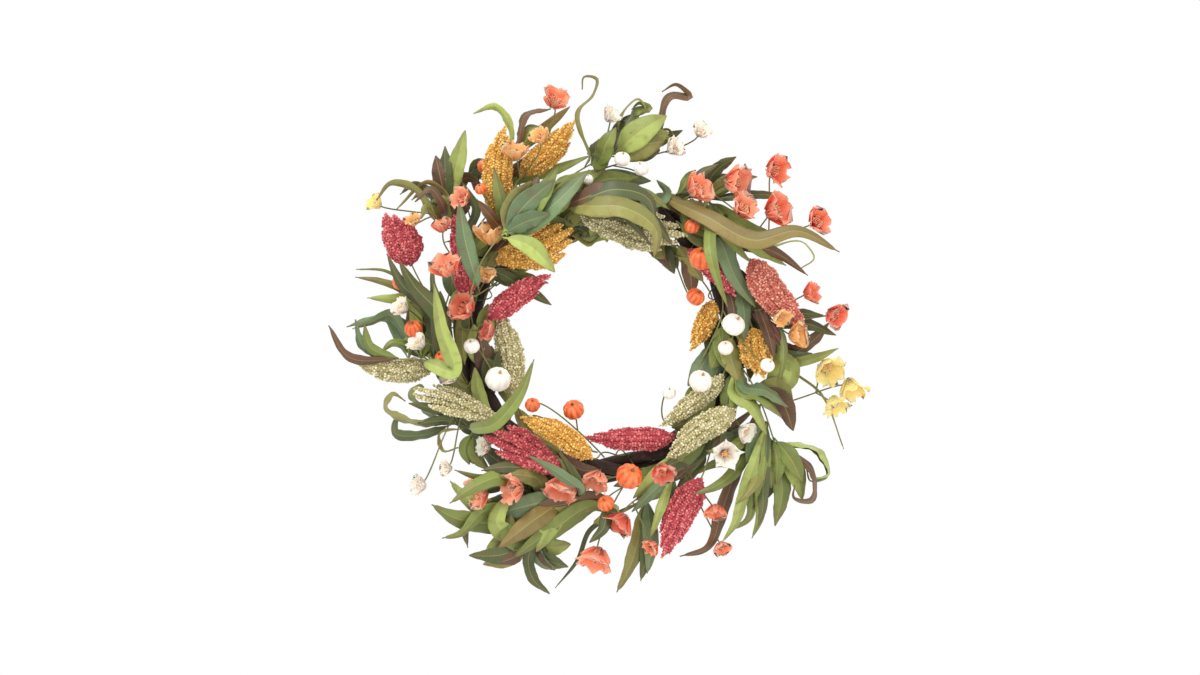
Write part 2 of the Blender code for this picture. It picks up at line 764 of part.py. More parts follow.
class Pick:
    """A stem whose foot lies under the binding wire, and what grows on it."""

    def __init__(self, bed, number, name):
        self.bed = bed
        self.number = number
        self.name = name
        self.bend = math.radians(BENDING.get(name, 0))
        self.hinge = None
        self.foot = []
        self.shapes = []

    def feet_near(self, point, flow):
        """Free places for the foot, the nearest to the wanted flow and to the side of the bundle that the
        point is on first. Under each crossing of the binding wire there is room for one; a bending pick
        starts between two crossings."""
        lean = math.atan2(-point[1], math.hypot(point[0], point[2]) - RING_RADIUS)
        lean = min(max(lean, math.radians(-20)), math.radians(200))
        found = []
        for k in range(-1, 7):
            slot_lean = math.radians(36 * k)
            for turn in range(WIRE_TURNS):
                crossing = (slot_lean + 2 * math.pi * turn) / WIRE_TURNS
                if self.bend:
                    crossing += math.pi / WIRE_TURNS
                away = (crossing - flow + math.pi) % (2 * math.pi) - math.pi
                cost = abs(away) * RING_RADIUS + abs(slot_lean - lean) * BUNDLE_RADIUS
                if (k, turn, bool(self.bend)) not in self.bed.feet:
                    found.append((cost, crossing, slot_lean, (k, turn, bool(self.bend))))
        return sorted(found)[:9]

    def foot_points(self, crossing, lean):
        """Where the stem runs: under the wire, then off the ring."""
        if self.bend:
            ends = (0.0, 7 * MM)
            heights = (FOOT_RADIUS, FOOT_RADIUS + 9 * MM)
        else:
            half = FOOT_LENGTH / 2
            ends = (-half, 0.0, half, half + 15 * MM)
            heights = (FOOT_RADIUS, FOOT_RADIUS, FOOT_RADIUS + 0.6 * MM, FOOT_RADIUS + 7 * MM)
        return [near_ring(crossing + e / RING_RADIUS, h, lean) for e, h in zip(ends, heights)]

    def poses(self, centres):
        """Where points go as the pick bends; only where they are, on a pick that doesn't."""
        if not self.bend:
            return centres
        return np.vstack([turned(centres, self.hinge, share * self.bend) for share in BEND_POSES])

    def try_shape(self, shape, skipped, alone=False):
        """Adds the shape if it is free. Its first stretch is where it is held, and may touch the ring."""
        centres, radii = shape.spheres()
        start = shape.path[0]
        held = np.linalg.norm(centres - start, axis=1) <= skipped
        count = len(BEND_POSES) if self.bend else 1
        for part, at_foot in ((held, True), (~held, False)):
            if part.any():
                spheres, sizes = self.poses(centres[part]), np.tile(radii[part], count)
                if not self.bed.is_free(spheres, sizes, self.number, at_foot):
                    return False
        apart = np.linalg.norm(centres - start, axis=1) > 3 * skipped
        if alone and apart.any():
            if not self.bed.is_free(centres[apart], radii[apart], self.number, alone=True):
                return False
        self.bed.add(self.poses(centres), np.tile(radii, count), self.number)
        self.shapes.append(shape)
        return True

    def plant_main(self, points, build, flow):
        """Plants the main shape: tries the nearest feet and shifts to the front or back."""
        feet = self.feet_near(points[0], flow)
        for slide, shift in itertools.product(SLIDES, depths()):
            moved = shifted(points, slide, shift)
            for _, crossing, lean, slot in feet:
                self.foot = self.foot_points(crossing, lean)
                self.hinge = self.foot[0]
                skipped = FOOT_LENGTH + 13 * MM if not self.bend else 5 * MM
                if self.try_shape(build(self.foot + moved), skipped):
                    self.bed.feet.add(slot)
                    return
        raise ValueError(f"no room for {self.name}")

    def branch_starts(self, point):
        """Places on the main stem to grow from: the likely ones, just before the nearest place and a little
        either way of it, and then every place."""
        stem = self.shapes[0]
        kept = stem.stations()
        line = np.column_stack([np.interp(range(len(stem.path)), kept, stem.path[kept, k]) for k in range(3)])
        thick = stem.wide > 1.5 * STEM_RADIUS
        last = int(np.argmax(thick)) - 1 if thick.any() else len(thick) - 1
        first = 2 if self.bend else int((FOOT_LENGTH + 12 * MM) / FINE)
        usable = line[first : max(last, first + 2)]
        apart = np.linalg.norm(usable - point, axis=1)
        nearest = int(np.argmin(apart)) - int(min(apart.min(), 24 * MM) / FINE)
        likely = [usable[min(max(nearest + step, 0), len(usable) - 1)] for step in BRANCH_STEPS]
        return likely, usable

    def plant_branch(self, points, build):
        """Plants a side shape that grows from the main stem. Its stalk may arch to the front or back."""
        likely, every = self.branch_starts(points[0])
        choices = itertools.chain(
            itertools.product(SLIDES, (True, False), depths(), likely, ARCHES),
            itertools.product(SLIDES, (False,), depths(), every, ARCHES),
        )
        for slide, alone, shift, start, arch in choices:
            moved = shifted(points, slide, shift)
            if np.linalg.norm(moved[0] - start) < 14 * MM:
                line = [start, *moved[1:]]
            else:
                line = [start, (start + moved[0]) / 2 + FRONT * arch, *moved]
            if self.try_shape(build(line), 4 * MM, alone):
                return
        raise ValueError(f"no room for a branch of {self.name} near {points[0] / MM}")


def body_at_end(points, length, half_width, half_depth, profile):
    """A thin stem through the points whose last stretch swells into a body of that length."""
    path = smooth_path(points)
    along = np.concatenate(((0.0,), np.cumsum(np.linalg.norm(np.diff(path, axis=0), axis=1))))
    start = along[-1] - length
    steps = np.unique(np.concatenate((along[along < start], start + length * np.linspace(0, 1, 9))))
    path = np.column_stack([np.interp(steps, along, path[:, axis]) for axis in range(3)])
    shape = profile(np.clip((steps - start) / length, 0, 1)) * (steps >= start)
    return Shape(
        path,
        np.maximum(shape * half_width, STEM_RADIUS),
        np.maximum(shape * half_depth, STEM_RADIUS),
    )


def head_points(foot, tip, reach, bow):
    """Three points of a head's line; it lifts a little towards its tip."""
    start, end = planted(foot, reach - 3), planted(tip, reach + 3)
    aside = unit(np.cross(end - start, FRONT))
    return [start, (start + end) / 2 + aside * bow * MM, end]


def plant_head(bed, number, entry):
    name, _, foot, tip, width, reach, bow = entry
    points = head_points(foot, tip, reach, bow)
    length = np.linalg.norm(points[2] - points[0])
    half = width * MM / 2 * HEAD_FULLNESS
    deep = min(half, 12 * MM * HEAD_FULLNESS)
    pick = Pick(bed, number, name)
    flow = upstream_of(points[0])
    pick.plant_main(points, lambda line: body_at_end(line, length, half, deep, head_profile), flow)
    return pick


def end_shape(kind, size):
    """A pumpkin or a blossom at the end of a stem: a function from points to a shape."""
    if kind == "ball":
        half = size * MM / 2 * PUMPKIN_SIZE
        return lambda line: body_at_end(line, 1.7 * half, half, half, ball_profile)
    half = size * MM / 2 * BLOSSOM_SIZE
    return lambda line: body_at_end(line, 1.3 * half, half, half, cup_profile)


def plant_pick(bed, number, entry):
    name, foot, *things = entry
    pick = Pick(bed, number, name)
    for place_in_pick, (kind, _, place, size, reach) in enumerate(things):
        end = planted(place, reach)
        outwards = unit(np.array((end[0], 0.0, end[2])))
        behind = end - (outwards * 0.35 + FRONT * 0.8) * size * 0.9 * MM
        points = [behind, end]
        if place_in_pick:
            pick.plant_branch(points, end_shape(kind, size))
        else:
            pick.plant_main(points, end_shape(kind, size), flow_of(planted(foot, 0)))
    return pick


def leaf_shape(points, width, turn):
    """A blade with a raised midrib on a short stalk."""
    path = smooth_path(points)
    along = np.concatenate(((0.0,), np.cumsum(np.linalg.norm(np.diff(path, axis=0), axis=1))))
    stalk = min(9 * MM, 0.25 * along[-1])
    share = (along - stalk) / (along[-1] - stalk)
    wide = leaf_profile(share) * width * MM / 2 * LEAF_WIDTH
    return Shape(
        path,
        np.maximum(wide, TWIG_RADIUS),
        np.full(len(path), LEAF_RIDGE),
        turn=math.radians(turn),
        blade=True,
    )


def plant_spray(bed, number, entry):
    name, reach, route, *leaves = entry
    pick = Pick(bed, number, name)
    stem = [planted(place, reach) for place in route]
    pick.plant_main(
        stem,
        lambda line: Shape(path := smooth_path(line), *[np.full(len(path), STEM_RADIUS)] * 2),
        upstream_of(stem[0]),
    )
    for width, leaf_reach, turn, *places in leaves:
        points = [planted(place, leaf_reach) for place in places]
        points[0] = points[0] + FRONT * (reach - leaf_reach) * 0.5 * MM
        pick.plant_branch(points, lambda line: leaf_shape(line, width, turn))
    return pick


# The ring and what holds it


def loop_mesh(name, point_at, stations, radius, sides):
    """A closed tube along a loop; point_at gives a point for a share of the loop."""
    points = np.array([point_at(k / stations) for k in range(stations)])
    ahead = np.roll(points, -1, axis=0) - np.roll(points, 1, axis=0)
    vertices = []
    for point, along in zip(points, ahead):
        along = unit(along)
        outwards = unit(np.array((point[0], 0.0, point[2])))
        first = unit(outwards - along * outwards.dot(along))
        second = np.cross(along, first)
        for k in range(sides):
            angle = 2 * math.pi * (k + 0.5) / sides
            vertices.append(point + (first * math.cos(angle) + second * math.sin(angle)) * radius)
    return swept_mesh(name, vertices, sides, closed=True)


def box_mesh(name, low, high):
    corners = [(x, y, z) for x in (low[0], high[0]) for y in (low[1], high[1]) for z in (low[2], high[2])]
    faces = ((0, 1, 3, 2), (4, 6, 7, 5), (0, 4, 5, 1), (2, 3, 7, 6), (0, 2, 6, 4), (1, 5, 7, 3))
    mesh = bpy.data.meshes.new(name)
    mesh.from_pydata(corners, [], faces)
    return mesh


def cane_point(share, which):
    flow = 2 * math.pi * share
    phase = 2 * math.pi * which / CANE_COUNT
    return near_ring(flow, TWIST_RADIUS, CANE_TURNS * flow + phase)


def wire_point(share):
    flow = 2 * math.pi * share
    return near_ring(flow, WIND_RADIUS, WIRE_TURNS * flow)


def tube_spheres(point_at, count, radius):
    return np.array([point_at(k / count) for k in range(count)]), np.full(count, radius)


def build_ring(bed):
    stations = CANE_STATIONS * CANE_TURNS
    reach = RING_RADIUS + 2 * BUNDLE_RADIUS
    for which in range(CANE_COUNT):
        name = f"vine_cane_{which + 1}"
        cane = loop_mesh(name, lambda share: cane_point(share, which), stations, CANE_RADIUS, 6)
        door = box_mesh(
            name + "_flat",
            (-reach, BUNDLE_RADIUS - FLAT_DEPTH, -reach),
            (reach, BUNDLE_RADIUS + CANE_RADIUS, reach),
        )
        combined(name, [cane, door], "bark", "DIFFERENCE")
        bed.add(*tube_spheres(lambda share: cane_point(share, which), 400, CANE_RADIUS), RING_OWNER)
    turns = WIRE_STATIONS * WIRE_TURNS
    add_object("binding_wire", loop_mesh("binding_wire", wire_point, turns, WIRE_RADIUS, 3), "wire")
    bed.add(*tube_spheres(wire_point, 1800, WIRE_RADIUS), RING_OWNER)


def hanger_centre():
    """The middle of the staple's back bar: on the hinge line of the hanger loop."""
    back = WIND_RADIUS + WIRE_RADIUS + GAP + STAPLE_INSIDE / 2
    return np.array((0.0, back, RING_RADIUS))


def build_hanger(bed):
    """A wire loop that swings in a staple. The staple's legs stand on the canes, between wire turns."""
    eye = hanger_centre()
    inner = STAPLE_INSIDE / 2 + STAPLE_WIRE
    half = STAPLE_HALF_WIDTH
    legs_from = BUNDLE_RADIUS - FLAT_DEPTH + GAP
    staple = [
        (-half, legs_from, eye[2]),
        (-half, eye[1] + inner, eye[2]),
        (half, eye[1] + inner, eye[2]),
        (half, legs_from, eye[2]),
    ]
    path = np.array([staple[0], staple[1], staple[2], staple[3]])
    corner = np.array((1, math.sqrt(2), math.sqrt(2), 1)) * STAPLE_WIRE
    inwards = np.array(((1, 0, 0), (1, -1, 0), (-1, -1, 0), (-1, 0, 0)), float)
    vertices = []
    for point, axis, radius in zip(path, inwards, corner):
        axis = unit(axis)
        up = np.array((0.0, 0.0, 1.0)) * STAPLE_WIRE
        vertices += [point + axis * radius, point + up, point - axis * radius, point - up]
    add_object("hanger_staple", swept_mesh("hanger_staple", vertices, 4, closed=False), "wire")
    centre = eye + np.array((0.0, 0.0, LOOP_RADIUS))

    def loop_at(share):
        angle = 2 * math.pi * share
        return centre + LOOP_RADIUS * np.array((math.cos(angle), 0.0, math.sin(angle)))

    points = [loop_at(k / 18) for k in range(18)]
    vertices = []
    for point in points:
        away = unit(point - centre)
        for k in range(5):
            angle = 2 * math.pi * k / 5
            side = away * math.cos(angle) + FRONT * math.sin(angle)
            vertices.append(point + side * LOOP_WIRE)
    loop = add_object("hanger_loop", swept_mesh("hanger_loop", vertices, 5, closed=True), "wire")
    move_origin(loop, eye)
    swing = 2 * LOOP_RADIUS + LOOP_WIRE
    balls = [
        eye + np.array((x, y, z)) * swing
        for x in (-0.45, 0.0, 0.45)
        for y in (-0.3, 0.0, 0.25)
        for z in (0.1, 0.45, 0.85)
    ]
    bed.add(np.array(balls), np.full(len(balls), 4 * MM), HANGER_OWNER)


def colour_of(entry):
    """The colour of a pick, as its first part has it."""
    if entry[0].startswith("leaf"):
        return "leaf"
    return entry[1] if isinstance(entry[1], str) else entry[2][1]


def build_pick(pick, colour):
    """One closed body from the pick's shapes, with its origin on the line that it bends about."""
    main, *side = pick.shapes
    for shapes, solver in itertools.product(([main, *side], [main, *side[::-1]]), ("EXACT", "MANIFOLD")):
        made = combined(pick.name, [shape.mesh(pick.name) for shape in shapes], colour, solver=solver)
        if is_closed(made.data) and has_every_end(made.data, pick.shapes):
            break
        bpy.data.objects.remove(made, do_unlink=True)
    else:
        raise ValueError(f"the shapes of {pick.name} don't join into one closed body")
    if pick.bend:
        move_origin(made, pick.hinge)


def main():
    clear_scene()
    bed = Bed()
    build_ring(bed)
    build_hanger(bed)
    entries = [e for e in PICKS if e[0] in BENDING]
    entries += HEADS
    entries += [e for e in PICKS if e[0] not in BENDING]
    entries += SPRAYS
    heads = {e[0] for e in HEADS}
    for number, entry in enumerate(entries, start=1):
        if entry[0] in heads:
            pick = plant_head(bed, number, entry)
        elif entry[0].startswith("leaf"):
            pick = plant_spray(bed, number, entry)
        else:
            pick = plant_pick(bed, number, entry)
        build_pick(pick, colour_of(entry))
    hook = hanger_centre() + np.array((0.0, 0.0, 2 * LOOP_RADIUS - LOOP_WIRE))
    for made in bpy.context.scene.objects:
        made.location -= Vector(hook)


main()
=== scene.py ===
"""Looks of the harvest door wreath: vine canes, binding wire, millet heads, pumpkins, blossoms and leaves.

The planting plan and the curves are those that the solids were made from. Each item of the plan is found
again in its solid, so that what is shown grows exactly where the solid does."""

import itertools
import json
import math

import bmesh
import bpy
import numpy as np
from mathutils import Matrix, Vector, noise


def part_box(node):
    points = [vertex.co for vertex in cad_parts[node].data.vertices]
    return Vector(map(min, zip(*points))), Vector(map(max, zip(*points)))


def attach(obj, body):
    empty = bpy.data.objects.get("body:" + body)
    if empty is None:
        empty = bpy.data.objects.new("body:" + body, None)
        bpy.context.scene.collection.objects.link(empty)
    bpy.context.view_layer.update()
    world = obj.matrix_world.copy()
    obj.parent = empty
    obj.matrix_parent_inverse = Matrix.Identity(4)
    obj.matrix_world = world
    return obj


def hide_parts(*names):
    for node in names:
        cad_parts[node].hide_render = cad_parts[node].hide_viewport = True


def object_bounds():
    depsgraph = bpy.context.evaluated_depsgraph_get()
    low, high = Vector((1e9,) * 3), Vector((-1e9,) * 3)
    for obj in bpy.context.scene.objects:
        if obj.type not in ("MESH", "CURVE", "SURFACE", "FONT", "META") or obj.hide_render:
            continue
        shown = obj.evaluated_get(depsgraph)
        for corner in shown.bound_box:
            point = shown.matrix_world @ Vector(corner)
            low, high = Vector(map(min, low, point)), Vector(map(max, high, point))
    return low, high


bl_info = {
    "name": "Harvest Door Wreath",
    "version": (1, 0, 0),
    "blender": (4, 5, 0),
    "location": "View3D > Sidebar > Wreath",
    "description": "Shows the wreath's canes, wire, millet heads, pumpkins, blossoms and leaves",
    "category": "Object",
}

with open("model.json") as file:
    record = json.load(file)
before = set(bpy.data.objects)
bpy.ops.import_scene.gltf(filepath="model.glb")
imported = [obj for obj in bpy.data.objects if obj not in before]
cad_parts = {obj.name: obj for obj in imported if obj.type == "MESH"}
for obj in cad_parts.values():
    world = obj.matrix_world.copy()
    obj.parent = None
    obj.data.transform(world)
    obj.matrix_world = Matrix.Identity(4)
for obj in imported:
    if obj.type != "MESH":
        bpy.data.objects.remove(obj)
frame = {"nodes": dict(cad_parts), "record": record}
cad_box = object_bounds()

MM = 0.001
SEED = 24

# The ring, as the solids have it
RING_RADIUS = 152 * MM
CANE_RADIUS = 7 * MM
CANE_TURNS = 5
CANE_COUNT = 3
CANE_STATIONS = 10
FLAT_DEPTH = 1.2 * MM
WIRE_RADIUS = 0.8 * MM
WIRE_TURNS = 18
WIRE_STATIONS = 10
STEM_RADIUS = 1.1 * MM
TWIG_RADIUS = 0.8 * MM
LOOP_RADIUS = 13 * MM
LOOP_WIRE = 1.2 * MM
STAPLE_HALF_WIDTH = 9.5 * MM
STAPLE_INSIDE = 4.0 * MM
LEAF_RIDGE = 1.1 * MM
GAP = 0.4 * MM
WIND_GAP = 0.6 * MM
FOOT_LENGTH = 14 * MM
FINE = 3 * MM
SAG = 0.8 * MM
LONGEST_STEP = 40 * MM
PLAN_RADIUS = 152.0
PLAN_STEP = 3 * MM
PLAN_TRIES = 26
ARCHES = (0.0, 8 * MM, -8 * MM, 18 * MM, -18 * MM)
BRANCH_STEPS = (0, -3, 3, -7, 7, -14, 14)
FRONT = np.array((0.0, -1.0, 0.0))

lean_of_canes = math.atan2(CANE_RADIUS * CANE_TURNS * 1.25, RING_RADIUS)
TWIST_RADIUS = (2 * CANE_RADIUS / math.cos(lean_of_canes) + GAP) / (
    math.sqrt(3) * math.cos(math.pi / CANE_STATIONS)
)
BUNDLE_RADIUS = TWIST_RADIUS + CANE_RADIUS
FOOT_RADIUS = BUNDLE_RADIUS + GAP + STEM_RADIUS
WIND_RADIUS = (FOOT_RADIUS + STEM_RADIUS + WIND_GAP + WIRE_RADIUS) / math.cos(math.pi / WIRE_STATIONS)

ring_low, ring_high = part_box("binding_wire")
RING_CENTRE = np.array((ring_low + ring_high) / 2)

# The planting plan, in millimetres from the ring's centre: x to the right, z up, and reach to the front.
# A millet head: name, colour, foot of the head, tip of the head, width, reach, sideways bow
HEADS = (
    ("gold_millet_1", "gold", (-117, 134), (-107, 236), 30, 36, -4),
    ("gold_millet_2", "gold", (-89, 181), (-28, 243), 26, 24, 4),
    ("gold_millet_3", "gold", (-115, 83), (-31, 120), 44, 34, 3),
    ("gold_millet_4", "gold", (-8, -137), (-89, -90), 23, 24, 5),
    ("gold_millet_5", "gold", (172, 8), (184, -47), 32, 32, 2),
    ("gold_millet_6", "gold", (127, 41), (102, -16), 20, 22, -3),
    ("red_millet_1", "red", (-213, 81), (-243, 138), 36, 26, 3),
    ("red_millet_2", "red", (-150, 41), (-164, 137), 26, 40, 4),
    ("red_millet_3", "red", (-127, 18), (-55, 69), 24, 32, -3),
    ("red_millet_4", "red", (-39, -155), (-132, -106), 40, 40, 3),
    ("red_millet_5", "red", (86, -111), (-17, -114), 23, 28, -4),
    ("red_millet_6", "red", (114, -160), (70, -249), 30, 38, 4),
    ("pink_millet_1", "pink", (168, 86), (231, 10), 32, 42, 6),
    ("dark_red_millet_1", "red", (98, 98), (152, 45), 18, 20, -3),
    ("cream_millet_1", "cream", (-97, -71), (-114, 31), 28, 28, 3),
    ("cream_millet_2", "cream", (-189, -39), (-272, -34), 24, 18, -3),
    ("cream_millet_3", "cream", (-109, -100), (-213, -61), 26, 42, 5),
    ("cream_millet_4", "cream", (140, -42), (66, -102), 23, 32, -4),
    ("cream_millet_5", "cream", (152, -82), (75, -137), 27, 42, 4),
    ("cream_millet_6", "cream", (-23, 145), (98, 113), 40, 36, 8),
)

# A pick of round things: name, where its foot is, then (kind, colour, place, size, reach); the first one
# ends the main stem and the others branch from it
PICKS = (
    ("coral_trumpet_pick", (-70, 160), ("cup", "coral", (-52, 269), 26, 34)),
    ("coral_hanging_pick", (30, -160), ("cup", "coral", (-4, -253), 32, 34)),
    (
        "yellow_blossom_pick",
        (165, -30),
        ("cup", "yellow", (286, -57), 26, 36),
        ("cup", "yellow", (258, -37), 28, 44),
        ("cup", "yellow", (266, -75), 22, 30),
    ),
    (
        "coral_outer_pick",
        (130, 115),
        ("cup", "coral", (247, 130), 24, 34),
        ("cup", "coral", (199, 189), 26, 38),
        ("cup", "coral", (200, 143), 32, 52),
    ),
    (
        "orange_pumpkin_inner_pick",
        (10, -140),
        ("ball", "orange", (-78, -80), 18, 42),
        ("ball", "orange", (-31, -88), 25, 46),
    ),
    ("white_pumpkin_inner_pick", (90, -115), ("ball", "white", (80, -66), 16, 38)),
    (
        "orange_pumpkin_pick_1",
        (-150, 110),
        ("ball", "orange", (-132, 195), 19, 48),
        ("ball", "orange", (-135, 166), 14, 56),
    ),
    (
        "orange_pumpkin_pick_2",
        (-150, -60),
        ("ball", "orange", (-228, 61), 19, 44),
        ("ball", "orange", (-213, 8), 22, 48),
        ("ball", "orange", (-180, -25), 18, 54),
    ),
    (
        "orange_pumpkin_pick_3",
        (70, -140),
        ("ball", "orange", (7, -191), 20, 58),
        ("ball", "orange", (34, -163), 31, 66),
    ),
    (
        "orange_pumpkin_pick_4",
        (70, 145),
        ("ball", "orange", (111, 46), 22, 42),
        ("ball", "orange", (117, 90), 29, 54),
        ("ball", "orange", (105, 125), 18, 56),
    ),
    (
        "white_pumpkin_pick_1",
        (-85, -125),
        ("ball", "white", (-119, -51), 30, 58),
        ("ball", "white", (-147, -12), 19, 54),
    ),
    (
        "white_pumpkin_pick_2",
        (140, 60),
        ("ball", "white", (117, -52), 27, 56),
        ("ball", "white", (190, -33), 17, 54),
        ("ball", "white", (144, -13), 18, 52),
        ("ball", "white", (154, 14), 27, 58),
    ),
    (
        "apricot_blossom_pick",
        (-148, 40),
        ("cup", "apricot", (-67, 222), 18, 48),
        ("cup", "apricot", (-97, 207), 24, 56),
        ("cup", "apricot", (-126, 116), 30, 60),
        ("cup", "apricot", (-130, 67), 18, 54),
    ),
    (
        "red_blossom_pick",
        (-150, 70),
        ("cup", "yellow", (-254, 150), 16, 30),
        ("cup", "apricot", (-211, 130), 15, 46),
        ("cup", "coral", (-156, 156), 20, 54),
        ("cup", "coral", (-179, 124), 18, 56),
    ),
    (
        "coral_blossom_pick_1",
        (-145, -40),
        ("cup", "coral", (-174, 77), 28, 60),
        ("cup", "coral", (-156, 31), 28, 64),
        ("cup", "coral", (-128, 4), 18, 50),
    ),
    (
        "white_blossom_pick_1",
        (-135, -75),
        ("cup", "petal", (-226, 32), 22, 50),
        ("cup", "petal", (-206, -8), 22, 52),
        ("cup", "petal", (-170, -47), 20, 60),
        ("cup", "petal", (-132, -126), 20, 54),
        ("cup", "petal", (-174, -150), 16, 34),
        ("cup", "petal", (-205, -170), 20, 34),
    ),
    (
        "coral_blossom_pick_2",
        (35, -150),
        ("cup", "coral", (-138, -179), 28, 44),
        ("cup", "coral", (-97, -175), 28, 56),
        ("cup", "coral", (-44, -173), 32, 62),
        ("cup", "coral", (-3, -164), 26, 58),
    ),
    (
        "coral_blossom_pick_3",
        (110, -110),
        ("cup", "coral", (24, -212), 28, 54),
        ("cup", "coral", (59, -238), 16, 44),
        ("cup", "coral", (71, -154), 24, 60),
        ("cup", "coral", (131, -198), 20, 46),
        ("cup", "coral", (138, -239), 16, 34),
    ),
    (
        "white_blossom_pick_2",
        (155, -60),
        ("cup", "petal", (144, -135), 34, 62),
        ("cup", "petal", (165, -108), 22, 52),
    ),
    (
        "coral_blossom_pick_4",
        (60, 145),
        ("cup", "coral", (154, 177), 32, 48),
        ("cup", "coral", (110, 168), 28, 58),
        ("cup", "coral", (162, 145), 26, 60),
    ),
    (
        "coral_blossom_pick_5",
        (145, 75),
        ("cup", "apricot", (223, 1), 24, 50),
        ("cup", "apricot", (203, 22), 18, 56),
        ("cup", "coral", (266, 24), 24, 40),
        ("cup", "coral", (238, 48), 20, 46),
    ),
    (
        "cream_pod_pick",
        (-60, 142),
        ("cup", "petal", (115, 233), 20, 30),
        ("cup", "petal", (84, 214), 22, 44),
        ("ball", "white", (47, 191), 18, 54),
        ("ball", "white", (25, 202), 19, 52),
        ("ball", "white", (-14, 178), 13, 50),
        ("cup", "petal", (12, 250), 20, 36),
    ),
)

